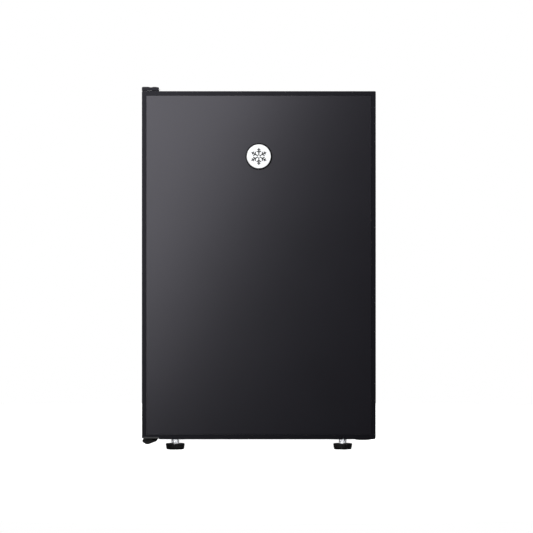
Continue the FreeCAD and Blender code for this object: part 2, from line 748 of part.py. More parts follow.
def ledges():
    """Shelf and tray ledges moulded in the liner's side walls, as (name, underside, top, back)."""
    shelf_levels = [("high", cabinet_bottom + shelf_high), ("low", cabinet_bottom + shelf_low)]
    found = []
    for name, middle in shelf_levels:
        under = middle - shelf_rod - touch_gap
        over = middle + shelf_rod + touch_gap
        found.append((name + "_under", under - ledge_tall, under))
        found.append((name + "_over", over, over + ledge_tall))
    rim = tray_rim() - tray_wall - touch_gap
    found.append(("tray_under", rim - ledge_tall, rim))
    return found


def tray_rim():
    """The top of the drip tray's rim."""
    return ice_bottom - tray_drop


def make_inner_liner():
    shell = cut("liner_shell", cavity("liner_outside", liner_thick), [cavity("liner_inside", 0)])
    inside = flange_wide + flange_gap
    rim = box(
        "liner_rim_plate",
        (inside - half_width, cabinet_front, cabinet_bottom + inside),
        (half_width - inside, cabinet_front + liner_thick, cabinet_top - inside),
    )
    lip = cut("liner_lip", rim, [cavity("liner_mouth", 0)])
    pieces = [shell, lip]
    for side, hand in ((-1, "left"), (1, "right")):
        for name, low, high in ledges():
            root, tip = inner_half + liner_thick / 2, inner_half - ledge_proud
            ends = sorted((side * root, side * tip), key=number)
            pieces.append(
                box(
                    "ledge_%s_%s" % (name, hand),
                    (ends[0], cabinet_front + ledge_front, low),
                    (ends[1], inner_back - ledge_short, high),
                )
            )
    holes = [
        cylinder("liner_" + name, radius + touch_gap, liner_thick + 2, (end[0], inner_back - 1, end[2]), "y")
        for name, radius, end in (
            ("suction_hole", suction_radius, suction_route()[-1]),
            ("capillary_hole", capillary_radius, capillary_route()[-1]),
        )
    ]
    node(cut("inner_liner", fuse("liner_form", pieces), holes), "inner_liner")


# --------------------------------------------------------------------------------------------------
# Hinges
# --------------------------------------------------------------------------------------------------


def screw(name, at, towards):
    """A pan-head screw; the point given is under its head, and it drives away from its head."""
    points = [
        (0, screw_head_tall),
        (screw_head * 0.62, screw_head_tall),
        (screw_head, screw_head_tall * 0.35),
        (screw_head, 0),
        (screw_radius, 0),
        (screw_radius, -screw_long + screw_radius),
        (0, -screw_long),
    ]
    return turned(name, points, at, towards)


def hinge_screw_places():
    """Where the screws of both hinge plates stand."""
    across = hinge_side + hinge_wide / 2 - half_width
    return [(across, cabinet_front + hinge_grip * share) for share in (0.22, 0.52, 0.82)]


def hinge_plate(name, low, thick, hole):
    """A flat hinge leaf with a narrowed nose, a pin hole and three screw holes."""
    left, right = hinge_side - half_width, hinge_side + hinge_wide - half_width
    nose, tail = door_front + hinge_nose, cabinet_front + hinge_grip
    points = [
        (left, nose + 4),
        (left + 4, nose),
        (right - 9, nose),
        (right, nose + 14),
        (right, tail - 4),
        (right - 4, tail),
        (left + 4, tail),
        (left, tail - 4),
    ]
    leaf = prism(name + "_leaf", "XY", points, low, low + thick)
    bores = [cylinder(name + "_pin_hole", hole, thick + 2, (pin_x, pin_y, low - 1))]
    for index, (across, back) in enumerate(hinge_screw_places()):
        bores.append(
            cylinder("%s_hole%d" % (name, index), screw_radius + 0.2, thick + 2, (across, back, low - 1))
        )
    return cut(name, leaf, bores)


def make_top_hinge():
    plate_top = cabinet_top + top_plate_thick
    node(hinge_plate("top_hinge_plate", cabinet_top, top_plate_thick, pin_radius), "top_hinge_plate")
    head = pin_radius + 2
    points = [
        (0, 1.2),
        (head, 1.2),
        (head, 0),
        (pin_radius, 0),
        (pin_radius, -top_plate_thick - door_drop - pin_reach + 1),
        (pin_radius - 1, -top_plate_thick - door_drop - pin_reach),
        (0, -top_plate_thick - door_drop - pin_reach),
    ]
    node(turned("top_hinge_pin", points, (pin_x, pin_y, plate_top)), "top_hinge_pin")
    make_top_cover()


def make_top_cover():
    """The plastic cap over the top hinge: two low humps with a groove between them."""
    left, top = -half_width, cabinet_top + cover_tall
    skirt = cabinet_top
    points = [
        (left, skirt),
        (left, top - 1.5),
        (left + 1.6, top - 0.6),
        (left + 6.5, top),
        (left + 13.5, top - 0.3),
        (left + 16.5, top - 1.1),
        (left + 19.5, top - 0.3),
        (left + cover_wide - 5.5, top),
        (left + cover_wide - 3.2, top - 0.5),
        (left + cover_wide - 1.4, top - 2.6),
        (left + cover_wide, skirt),
    ]
    front, back = door_front + 2, cabinet_front + cover_back
    cap = prism("cover_cap", "XZ", points, front, back)
    hollow = box(
        "cover_hollow",
        (left + cover_wall, front + cover_wall, skirt - 1),
        (left + cover_wide - cover_wall * 1.9, back - cover_wall, top - 1.1 - cover_wall),
    )
    node(cut("top_hinge_cover", cap, [hollow]), "top_hinge_cover")


def make_lower_hinge():
    low = cabinet_bottom - low_plate_thick
    node(hinge_plate("lower_hinge_plate", low, low_plate_thick, pin_radius), "lower_hinge_plate")
    reach = notch_top - low + pin_reach
    head = pin_radius + 2.4
    points = [
        (0, -3.2),
        (head - 0.8, -3.2),
        (head, -2.4),
        (head, 0),
        (pin_radius, 0),
        (pin_radius, reach - 1),
        (pin_radius - 1, reach),
        (0, reach),
    ]
    node(turned("lower_hinge_pin", points, (pin_x, pin_y, low)), "lower_hinge_pin")
    left = -half_width
    points = [
        (left + 0.3, low),
        (left + 0.7, low - 3.2),
        (left + 6.5, low - 7.1),
        (left + 11.5, low - 7.6),
        (left + 25.5, low - 2.4),
        (left + 28, low),
    ]
    cap = prism("low_cap_block", "XZ", points, door_front + 7, door_back + 2)
    hole = cylinder("low_cap_hole", head + touch_gap, 4.3, (pin_x, pin_y, low - 3.6))
    node(cut("lower_hinge_cap", cap, [hole]), "lower_hinge_cap")


def hinge_screw_bores(name, ends):
    """Holes for the hinge screws, through whatever lies behind the hinge plates."""
    lows = {"high": cabinet_top - screw_long - 1, "low": cabinet_bottom - 1}
    radius, tall = screw_radius + screw_gap, screw_long + 2
    return [
        cylinder("%s_%s%d" % (name, end, index), radius, tall, (across, back, lows[end]))
        for end in ends
        for index, (across, back) in enumerate(hinge_screw_places())
    ]


def back_screw_places():
    """Where the back panel is screwed to the sides of the shell."""
    return [
        (side * (half_width - 7), cabinet_bottom + cabinet_height * share)
        for side in (-1, 1)
        for share in (0.34, 0.62, 0.9)
    ]


def back_screw_bores(name):
    """Holes for the screws of the back panel."""
    start = cabinet_back - screw_long - 1
    radius, deep = screw_radius + screw_gap, screw_long + 2
    return [
        cylinder("%s%d" % (name, index), radius, deep, (across, start, height), "y")
        for index, (across, height) in enumerate(back_screw_places())
    ]


def make_screws():
    """All the self-tapping screws: three in each hinge plate and three down each side of the back."""
    above = cabinet_top + top_plate_thick
    below = cabinet_bottom - low_plate_thick
    pieces = []
    for index, (across, back) in enumerate(hinge_screw_places()):
        pieces.append(screw("top_screw%d" % index, (across, back, above), "z"))
        pieces.append(screw("low_screw%d" % index, (across, back, below), "-z"))
    for index, (across, height) in enumerate(back_screw_places()):
        pieces.append(screw("back_screw%d" % index, (across, cabinet_back, height), "y"))
    node(group("cabinet_screws", pieces), "cabinet_screws")


def make_hole_plugs():
    """Caps in the cabinet's screw holes on the other side, kept for moving the hinge across."""
    pieces = []
    for index, (across, back) in enumerate(hinge_screw_places()):
        points = [(0, 1.6), (2.6, 1.6), (4.6, 0.9), (4.6, 0), (0, 0)]
        pieces.append(turned("plug_top%d" % index, points, (-across, back, cabinet_top)))
        pieces.append(turned("plug_low%d" % index, points, (-across, back, cabinet_bottom), "-z"))
    node(group("hinge_hole_plugs", pieces), "hinge_hole_plugs")


# --------------------------------------------------------------------------------------------------
# Door
# --------------------------------------------------------------------------------------------------

bush_radius = pin_radius + running_gap + bush_wall
rim_low = door_bottom + frame_wide
rim_high = door_top - frame_wide
notch_top = door_bottom + corner_notch
foam_front = door_front + frame_lip
liner_plane = door_back - liner_thick


def make_door_panel():
    reach = half_width - frame_wide - panel_gap
    front = door_front + panel_recess
    low, high = rim_low + panel_gap, rim_high - panel_gap
    panel = block(
        "door_panel",
        (-reach, front, low),
        (reach, front + panel_thick, high),
        panel_thick / 2,
        level("y", front),
    )
    node(panel, "door_panel")


def profile_section(side):
    """The L section of a side profile, seen from above."""
    outer = side * half_width
    lip = side * (half_width - frame_wide)
    wall = side * (half_width - frame_wall)
    return [
        (outer, door_front),
        (lip, door_front),
        (lip, foam_front),
        (wall, foam_front),
        (wall, liner_plane),
        (outer, liner_plane),
    ]


def edge_test(side):
    """The long outside edge at the front of a profile."""
    return both(along("z"), both(level("x", side * half_width), level("y", door_front)))


def make_side_profiles():
    left = prism("door_left_profile", "XY", profile_section(-1), rim_low, rim_high)
    rounded(left, frame_round, edge_test(-1))
    node(left, "door_left_profile")
    right = prism("right_profile_bar", "XY", profile_section(1), rim_low, rim_high)
    rounded(right, frame_round, edge_test(1))
    cup = block("grip_cup", *grip_box(grip_wall), 5, along("x"))
    scoop = block("grip_scoop", *grip_box(0), 4, along("x"))
    joined = fuse("right_profile_cup", [right, cup])
    node(cut("door_right_profile", joined, [scoop]), "door_right_profile")


def grip_box(grow):
    """Two corners of the finger grip's room, or of its cup when grown by a wall."""
    middle = door_bottom + grip_middle
    front = door_front + grip_setback
    outside = half_width + 1 if grow == 0 else half_width - frame_wall / 2
    return (
        (half_width - grip_deep - grow, front - grow, middle - grip_length / 2 - grow),
        (outside, front + grip_wide + grow, middle + grip_length / 2 + grow),
    )


def cap_bar(name, low, high):
    """A plain bar across the door, as thick as the side profiles."""
    points = [(door_front, low), (door_front, high), (liner_plane, high), (liner_plane, low)]
    return prism(name, "YZ", points, -half_width, half_width)


def make_caps():
    """The moulded top and bottom of the door frame, each with its hinge bush's seat."""
    tall = frame_wide + 2
    top = cap_bar("top_cap_block", rim_high, door_top)
    rounded(top, top_corner, both(along("y"), level("z", door_top)))
    rounded(top, frame_round, both(level("y", door_front), level("z", door_top)))
    seat = cylinder("top_cap_seat", bush_radius, tall, (pin_x, pin_y, rim_high - 1))
    node(cut("door_top_cap", top, [seat]), "door_top_cap")
    bottom = cap_bar("bottom_cap_block", door_bottom, rim_low)
    free_end = both(level("x", cabinet_width), level("z", door_bottom))
    rounded(bottom, low_corner, both(along("y"), free_end))
    rounded(bottom, frame_round, both(level("y", door_front), level("z", door_bottom)))
    boss_points = [
        (0, 0),
        (boss_sole, 0),
        (boss_radius, boss_drop),
        (boss_radius, boss_drop + frame_lip),
        (0, boss_drop + frame_lip),
    ]
    boss = turned("bottom_cap_boss", boss_points, (half_width - boss_inset, pin_y, door_bottom - boss_drop))
    bar = fuse("bottom_cap_form", [bottom, boss])
    notch = box(
        "bottom_cap_notch",
        (-half_width - 1, door_front - 1, door_bottom - 1),
        (hinge_side + hinge_wide + notch_beside - half_width, liner_plane + 1, notch_top),
    )
    seat = cylinder("bottom_cap_seat", bush_radius, tall, (pin_x, pin_y, door_bottom - 1))
    node(cut("door_bottom_cap", bar, [notch, seat]), "door_bottom_cap")


def bush(name, low, high, bore_low, bore_high):
    outer = cylinder(name + "_outside", bush_radius, high - low, (pin_x, pin_y, low))
    bore = cylinder(name + "_bore", pin_radius + running_gap, bore_high - bore_low, (pin_x, pin_y, bore_low))
    return outer, bore


def make_bushes():
    """Nylon bushes in the caps; the lower one has a corner block that fills the cap's notch."""
    floor, spare = 2, 0.5
    end = door_top - pin_reach
    outer, bore = bush("top_bush", end - floor, door_top, end - spare, door_top + 1)
    node(cut("upper_hinge_bush", outer, [bore]), "upper_hinge_bush")
    under = cabinet_bottom + hinge_air
    end = notch_top + pin_reach
    outer, bore = bush("low_bush", under, end + floor, under - 1, end + spare)
    corner = box(
        "low_bush_corner",
        (-half_width, door_front, under),
        (hinge_side + hinge_wide + notch_beside - touch_gap - half_width, liner_plane, notch_top),
    )
    node(cut("lower_hinge_bush", fuse("low_bush_body", [outer, corner]), [bore]), "lower_hinge_bush")


def make_door_foam():
    reach = half_width - frame_wall
    slab = box("foam_slab", (-reach, foam_front, rim_low), (reach, liner_plane, rim_high))
    inside = half_width - frame_wide - foam_short
    behind_panel = door_front + panel_recess + panel_thick
    low, high = rim_low + foam_short, rim_high - foam_short
    face = box("foam_face", (-inside, behind_panel, low), (inside, foam_front + 1, high))
    body = fuse("foam_core", [slab, face])
    low, high = grip_box(grip_wall + touch_gap)
    cup = box("foam_cup_room", low, (half_width, high[1], high[2]))
    sleeve = bush_radius + touch_gap
    pockets = [
        cup,
        cylinder("foam_top_pocket", sleeve, pin_reach + 3, (pin_x, pin_y, door_top - pin_reach - 3)),
        cylinder("foam_low_pocket", sleeve, pin_reach + corner_notch + 3, (pin_x, pin_y, door_bottom)),
    ]
    node(cut("door_foam", body, pockets), "door_foam")


def rack_levels():
    """The two door racks, as (name, floor, height)."""
    return [
        ("upper", door_bottom + upper_rack_high, upper_rack_tall),
        ("lower", door_bottom + lower_rack_high, lower_rack_tall),
    ]


def peg_box(side, floor, tall, grow_side, drop, rise):
    """The room of the peg that carries a rack at one side, or of the slot round it."""
    middle = door_back + rack_deep * 0.35
    low = floor + tall - peg_size * 2
    ends = sorted((side * (dyke_half + 0.5), side * (dyke_half - peg_proud - grow_side)), key=number)
    return (
        (ends[0], middle - peg_size / 2 - grow_side, low - drop),
        (ends[1], middle + peg_size / 2 + grow_side, low + peg_size + rise),
    )


def make_door_liner():
    """The formed inner skin of the door, with two hollow ribs that carry the racks on pegs."""
    reach = half_width - liner_edge
    skin = box(
        "door_skin",
        (-reach, liner_plane, door_bottom + liner_edge),
        (reach, door_back, door_top - liner_edge),
    )
    low, high = door_bottom + dyke_low, door_bottom + dyke_high
    pieces, hollows = [skin], []
    for side, hand in ((-1, "left"), (1, "right")):
        ends = sorted((side * dyke_half, side * (dyke_half + dyke_wide)), key=number)
        rib = block(
            "rib_" + hand,
            (ends[0], door_back - liner_thick / 2, low),
            (ends[1], door_back + dyke_deep, high),
            6,
            level("y", door_back + dyke_deep),
        )
        pieces.append(rib)
        for name, floor, tall in rack_levels():
            pieces.append(box("peg_%s_%s" % (name, hand), *peg_box(side, floor, tall, 0, 0, 0)))
        hollows.append(
            box(
                "rib_hollow_" + hand,
                (ends[0] + liner_thick, liner_plane - 1, low + liner_thick),
                (ends[1] - liner_thick, door_back + dyke_deep - liner_thick * 2, high - liner_thick),
            )
        )
    node(cut("door_liner", fuse("door_liner_form", pieces), hollows), "door_liner")


def ring(name, inset, wide, front, back):
    """A rectangular ring parallel to the door."""
    reach = half_width - inset
    outer = box(name + "_outer", (-reach, front, door_bottom + inset), (reach, back, door_top - inset))
    inner = box(
        name + "_inner",
        (wide - reach, front - 1, door_bottom + inset + wide),
        (reach - wide, back + 1, door_top - inset - wide),
    )
    return cut(name, outer, [inner])


def make_gasket():
    """The magnetic seal: a channel ring open to the door, with a magnet strip along each side."""
    back = cabinet_front - touch_gap
    body = ring("gasket_body", gasket_inset, gasket_wide, door_back, back)
    channel = ring(
        "gasket_channel",
        gasket_inset + gasket_wall,
        gasket_wide - gasket_wall * 2,
        door_back - 1,
        back - gasket_wall,
    )
    node(cut("door_gasket", body, [channel]), "door_gasket")
    near = gasket_inset + gasket_wall + 0.5
    wide = gasket_wide - gasket_wall * 2 - 1
    front, rear = back - gasket_wall - magnet_thick - 0.1, back - gasket_wall - 0.1
    reach, low, high = half_width - near, door_bottom + near, door_top - near
    strips = [
        box("magnet_left", (-reach, front, low + wide + 1), (wide - reach, rear, high - wide - 1)),
        box("magnet_right", (reach - wide, front, low + wide + 1), (reach, rear, high - wide - 1)),
        box("magnet_low", (-reach, front, low), (reach, rear, low + wide)),
        box("magnet_high", (-reach, front, high - wide), (reach, rear, high)),
    ]
    node(group("gasket_magnets", strips), "gasket_magnets")


def make_badge():
    """A round emblem on the panel: a dark ring round a bright, slightly domed disc."""
    base = door_front + panel_recess
    at = (0, base, door_top - badge_drop)
    edge = badge_radius + badge_rim
    ring_tall = badge_ring_proud + panel_recess
    points = [
        (badge_radius, 0),
        (edge, 0),
        (edge, ring_tall - 0.5),
        (edge - 0.5, ring_tall),
        (badge_radius + 0.5, ring_tall),
        (badge_radius, ring_tall - 0.5),
    ]
    node(turned("badge_ring", points, at, "-y"), "badge_ring")
    face = badge_radius - 0.15
    crown = badge_proud + panel_recess
    points = [
        (0, 0),
        (face, 0),
        (face, crown - 1.3),
        (face * 0.86, crown - 0.75),
        (face * 0.6, crown - 0.3),
        (face * 0.3, crown - 0.06),
        (0, crown),
    ]
    node(turned("badge_face", points, at, "-y"), "badge_face")


def make_racks():
    """Two open trays that hang on the door liner's pegs and lift off."""
    front, back = door_back + touch_gap, door_back + rack_deep
    for name, floor, tall in rack_levels():
        title = "door_rack_" + name
        outside = block(
            title + "_outside",
            (-rack_half, front, floor),
            (rack_half, back, floor + tall),
            rack_radius,
            either(both(along("z"), level("y", back)), level("z", 0)),
        )
        inside = block(
            title + "_inside",
            (rack_wall - rack_half, front + rack_wall, floor + rack_wall),
            (rack_half - rack_wall, back - rack_wall, floor + tall + 1),
            rack_radius - rack_wall,
            either(both(along("z"), level("y", back - rack_wall)), level("z", 0)),
        )
        room = (peg_slot_gap, rack_lift + 1, peg_slot_gap)
        slots = [
            box("%s_slot%d" % (title, side), *peg_box(side, floor, tall, *room)) for side in (-1, 1)
        ]
        node(cut(title, outside, [inside] + slots), title)


# --------------------------------------------------------------------------------------------------
# Ice box, drip tray, shelves, thermostat and lamp
# --------------------------------------------------------------------------------------------------


def make_evaporator():
    """A roll-bond plate folded into a box that is open at the front and the back."""
    corners = [(-ice_half, ice_bottom), (ice_half, ice_bottom), (ice_half, ice_top), (-ice_half, ice_top)]
    outside = rounded(prism("evaporator_outside", "XZ", corners, ice_front, ice_rear), ice_bend, along("y"))
    wide, low, high = ice_half - ice_thick, ice_bottom + ice_thick, ice_top - ice_thick
    corners = [(-wide, low), (wide, low), (wide, high), (-wide, high)]
    inside = prism("evaporator_inside", "XZ", corners, ice_front - 1, ice_rear + 1)
    rounded(inside, ice_bend - ice_thick, along("y"))
    joints = [
        box(
            name,
            (end[0] - joint_size, ice_rear - joint_size * 2, ice_top - ice_thick / 2),
            (end[0] + joint_size, ice_rear, end[2] + joint_size * 0.7),
        )
        for name, end in (("suction_joint", suction_route()[-1]), ("capillary_joint", capillary_route()[-1]))
    ]
    hollow = cut("evaporator_fold", outside, [inside])
    node(fuse("evaporator_box", [hollow] + joints), "evaporator_box")
    pieces = []
    for side in (-1, 1):
        for index, share in enumerate((0.18, 0.82)):
            middle = ice_front + ice_deep * share
            across = side * (ice_half - hanger_inset)
            pieces.append(
                box(
                    "hanger%d%d" % (side + 1, index),
                    (across - hanger_half, middle - hanger_deep / 2, ice_top),
                    (across + hanger_half, middle + hanger_deep / 2, inner_top),
                )
            )
    node(group("evaporator_hangers", pieces), "evaporator_hangers")


def make_ice_frame():
    """The plastic surround of the ice box, with an ear at each side for the flap's pins."""
    over, lap = ice_frame_over, ice_frame_lap
    outer = block(
        "ice_frame_plate",
        (-ice_half - over, frame_front, ice_bottom - over),
        (ice_half + over, ice_front, frame_top),
        6,
        along("y"),
    )
    opening = block(
        "ice_frame_opening",
        (lap - ice_half, frame_front - 1, ice_bottom + lap),
        (ice_half - lap, ice_front + 1, ice_top - lap),
        5,
        along("y"),
    )
    pieces, bores = [outer], [opening]
    for side, hand in ((-1, "left"), (1, "right")):
        outside = side * (ice_half + over)
        ends = sorted((outside, outside - side * ear_wide), key=number)
        ear_front = flap_axis_y - flap_pin_radius - ear_reach
        pieces.append(
            box(
                "ice_ear_" + hand,
                (ends[0], ear_front, flap_axis_z - ear_half),
                (ends[1], frame_front + 0.5, flap_axis_z + ear_half),
            )
        )
        bores.append(
            cylinder(
                "ice_ear_bore_" + hand,
                flap_pin_radius + running_gap,
                ear_wide + 2,
                (ends[0] - 1, flap_axis_y, flap_axis_z),
                "x",
            )
        )
    node(cut("ice_box_frame", fuse("ice_frame_ears", pieces), bores), "ice_box_frame")


def make_flap():
    """The ice box door, hung from two pins at its top edge, with a finger lip along the bottom."""
    side_gap = 0.6
    reach = ice_half + ice_frame_over - ear_wide - side_gap
    front = flap_axis_y - flap_knuckle + 0.6
    panel = box(
        "flap_panel",
        (-reach, front, flap_axis_z - flap_tall),
        (reach, front + flap_thick, flap_axis_z),
    )
    knuckle = cylinder("flap_knuckle_bar", flap_knuckle, reach * 2, (-reach, flap_axis_y, flap_axis_z), "x")
    pins = cylinder(
        "flap_pins", flap_pin_radius, (reach + 5) * 2, (-reach - 5, flap_axis_y, flap_axis_z), "x"
    )
    foot = flap_axis_z - flap_tall
    lip = box(
        "flap_lip",
        (-flap_pull_half, front - flap_pull_deep, foot),
        (flap_pull_half, front + 1, foot + flap_pull_thick),
    )
    node(fuse("ice_box_flap", [panel, knuckle, pins, lip]), "ice_box_flap")


def make_drip_tray():
    """The melt water tray under the ice box; its rim slides on two ledges."""
    top = tray_rim()
    low = top - tray_tall
    front = cabinet_front + tray_front
    back = front + tray_deep
    outside = block(
        "tray_outside", (-tray_half, front, low), (tray_half, back, top), 6, level("z", 0)
    )
    rim = box(
        "tray_rim_plate",
        (-tray_half - tray_lip, front, top - tray_wall),
        (tray_half + tray_lip, back, top),
    )
    pull = box(
        "tray_pull",
        (-tray_pull_half, front - tray_pull_deep, top - tray_wall),
        (tray_pull_half, front + 1, top),
    )
    inside = block(
        "tray_inside",
        (tray_wall - tray_half, front + tray_wall, low + tray_wall),
        (tray_half - tray_wall, back - tray_wall, top + 1),
        5,
        level("z", 0),
    )
    node(cut("drip_tray", fuse("tray_form", [outside, rim, pull]), [inside]), "drip_tray")


def make_shelves():
    """Two wire shelves: a bent frame rod with long wires welded on top of it."""
    side = inner_half - shelf_side
    front, back = cabinet_front + shelf_front, inner_back - shelf_short
    for name, above in (("upper", shelf_high), ("lower", shelf_low)):
        middle = cabinet_bottom + above
        title = "%s_shelf" % name
        pieces = shelf_frame(title, side, front, back, middle)
        pitch = side * 2 / (shelf_wires + 1)
        lift = middle + shelf_rod + shelf_wire - shelf_weld
        for index in range(shelf_wires):
            start = (pitch * (index + 1) - side, front - 1, lift)
            pieces.append(cylinder("%s_wire%d" % (title, index), shelf_wire, back - front + 2, start, "y"))
        node(fuse(title, pieces), title)


def shelf_frame(title, side, front, back, middle):
    """The rod round a shelf, with bent corners and a brace across its middle."""
    wide, deep = (side - shelf_bend) * 2, back - front - shelf_bend * 2
    left, near = shelf_bend - side, front + shelf_bend
    pieces = [cylinder(title + "_brace", shelf_rod, side * 2, (-side, (front + back) / 2, middle), "x")]
    for end, at in (("front", front), ("back", back)):
        pieces.append(cylinder("%s_%s" % (title, end), shelf_rod, wide, (left, at, middle), "x"))
    for end, at in (("left", -side), ("right", side)):
        pieces.append(cylinder("%s_%s" % (title, end), shelf_rod, deep, (at, near, middle), "y"))
    corners = [(left, near), (-left, near), (-left, near + deep), (left, near + deep)]
    for index, (across, along_y) in enumerate(corners):
        bend = doc.addObject("Part::Torus", "%s_bend%d" % (title, index))
        bend.setExpression("Radius1", words(shelf_bend))
        bend.setExpression("Radius2", words(shelf_rod))
        bend.Angle3 = 90
        place(bend, (across, along_y, middle))
        bend.Placement.Rotation = FreeCAD.Rotation(FreeCAD.Vector(0, 0, 1), 180 + 90 * index)
        pieces.append(bend)
    return pieces


stat_left = inner_half - stat_wide
stat_near = cabinet_front + stat_front
stat_floor = cabinet_bottom + stat_high
knob_axis = (inner_half - stat_wide / 2, stat_floor + stat_tall / 2)


def make_thermostat():
    """The control box on the right wall, with the thermostat switch inside it."""
    far, roof = stat_near + stat_deep, stat_floor + stat_tall
    outside = block(
        "stat_outside", (stat_left, stat_near, stat_floor), (inner_half, far, roof), 4, level("x", stat_left)
    )
    room = box(
        "stat_room",
        (stat_left + stat_wall, stat_near + stat_wall, stat_floor + stat_wall),
        (inner_half + 1, far - stat_wall, roof - stat_wall),
    )
    start = (knob_axis[0], stat_near - 1, knob_axis[1])
    hole = cylinder("stat_shaft_hole", shaft_radius + touch_gap, stat_wall + 2, start, "y")
    node(cut("thermostat_housing", outside, [room, hole]), "thermostat_housing")
    switch = block(
        "thermostat_switch",
        (stat_left + stat_wall + 3, stat_near + knob_shaft, stat_floor + 8),
        (inner_half - 3, stat_near + knob_shaft + 34, roof - 8),
        3,
        along("x"),
    )
    node(switch, "thermostat_switch")


def make_knob():
    """The thermostat knob: a fluted drum with a skirt, on its own shaft."""
    start = stat_near - 1
    skirt = knob_radius + 1.8
    points = [
        (0, 0),
        (skirt, 0),
        (skirt, 1.4),
        (knob_radius, 2.4),
        (knob_radius - 1.2, knob_long - 1.5),
        (knob_radius - 2.7, knob_long),
        (0, knob_long),
    ]
    drum = turned("knob_drum", points, (knob_axis[0], start, knob_axis[1]), "-y")
    shaft = cylinder("knob_bar", shaft_radius, knob_shaft, (knob_axis[0], start - 1, knob_axis[1]), "y")
    pointer = box(
        "knob_pointer",
        (knob_axis[0] - 1.1, start - knob_long - 1.6, knob_axis[1] + 3),
        (knob_axis[0] + 1.1, start - knob_long + 1, knob_axis[1] + knob_radius - 3.5),
    )
    node(fuse("thermostat_knob", [drum, shaft, pointer]), "thermostat_knob")


# --------------------------------------------------------------------------------------------------
# Cooling system in the bay and on the back
# --------------------------------------------------------------------------------------------------

carrier_top = cabinet_bottom + carrier_thick
feet_low = carrier_top + grommet_tall
shell_low = feet_low + feet_thick
seam = shell_low + compressor_low
shell_high = seam + compressor_high
coil_y = cabinet_back + condenser_off
pipe_z = seam + compressor_high * 0.5


def compressor_drum(name, grow, low, high, soft, soft_at):
    """A drum with the compressor's outline, grown outwards, softened round one end."""
    x_half, y_half = compressor_long / 2 + grow, compressor_deep / 2 + grow
    middle = -compressor_left
    body = block(
        name,
        (middle - x_half, bay_middle() - y_half, low),
        (middle + x_half, bay_middle() + y_half, high),
        compressor_deep * 0.36 + grow,
        along("z"),
    )
    return rounded_all(body, soft, soft_at) if soft else body


def rounded_all(body, radius, height):
    """Round every edge, arcs too, that lies at one height of a body."""
    doc.recompute()
    tip = body.Tip
    box_of = [edge.BoundBox for edge in tip.Shape.Edges]
    names = [
        "Edge%d" % (index + 1)
        for index, bounds in enumerate(box_of)
        if abs(bounds.ZMin - number(height)) < 1e-6 and abs(bounds.ZMax - number(height)) < 1e-6
    ]
    fillet = body.newObject("PartDesign::Fillet", body.Name + "_soft")
    fillet.Base = (tip, names)
    fillet.setExpression("Radius", words(radius))
    return body


def port_place(side):
    """The point where a main tube leaves the compressor: suction at -1, discharge at 1."""
    return side * (compressor_long / 2 + port_long) - compressor_left, bay_middle(), pipe_z


def compressor_port(name, side):
    """A pipe stub on the upper shell."""
    radius = {-1: suction_radius, 1: coil_radius}[side] + port_wall
    end = port_place(side)[0]
    ends = sorted((end, end - side * (port_long + compressor_wall / 2)), key=number)
    return cylinder(name, radius, ends[1] - ends[0], (ends[0], bay_middle(), pipe_z), "x")


def make_compressor():
    """Two welded steel shells round the pump and motor, with a stub for each of the two main tubes."""
    wall = compressor_wall
    lower = compressor_drum("lower_can", 0, shell_low, seam, 16, 0)
    flange = compressor_drum("lower_can_flange", compressor_seam, seam - 2, seam, None, 0)
    room = compressor_drum("lower_can_room", -wall, shell_low + wall, seam + 1, 13, 0)
    form = fuse("lower_can_form", [lower, flange])
    node(cut("compressor_lower_shell", form, [room]), "compressor_lower_shell")
    upper = compressor_drum("upper_can", 0, seam, shell_high, 24, compressor_high)
    rim = compressor_drum("upper_can_flange", compressor_seam, seam, seam + 2, None, 0)
    tall = compressor_high - wall + 1
    room = compressor_drum("upper_can_room", -wall, seam - 1, shell_high - wall, 21, tall)
    hollow = cut("upper_can_form", fuse("upper_can_solid", [upper, rim]), [room])
    stubs = [compressor_port("suction_stub", -1), compressor_port("discharge_stub", 1)]
    node(fuse("compressor_upper_shell", [hollow] + stubs), "compressor_upper_shell")
    start = seam - motor_tall / 2
    node(
        cylinder("compressor_motor", motor_radius, motor_tall, (-compressor_left, bay_middle(), start)),
        "compressor_motor",
    )
    make_compressor_feet()
    side = compressor_long / 2 - compressor_left
    relay = block(
        "starter_box",
        (side + flange_gap, bay_middle() - starter_half, shell_low + starter_above),
        (side + starter_reach, bay_middle() + starter_half, seam - starter_below),
        5,
        level("x", side + starter_reach),
    )
    node(relay, "starter_box")


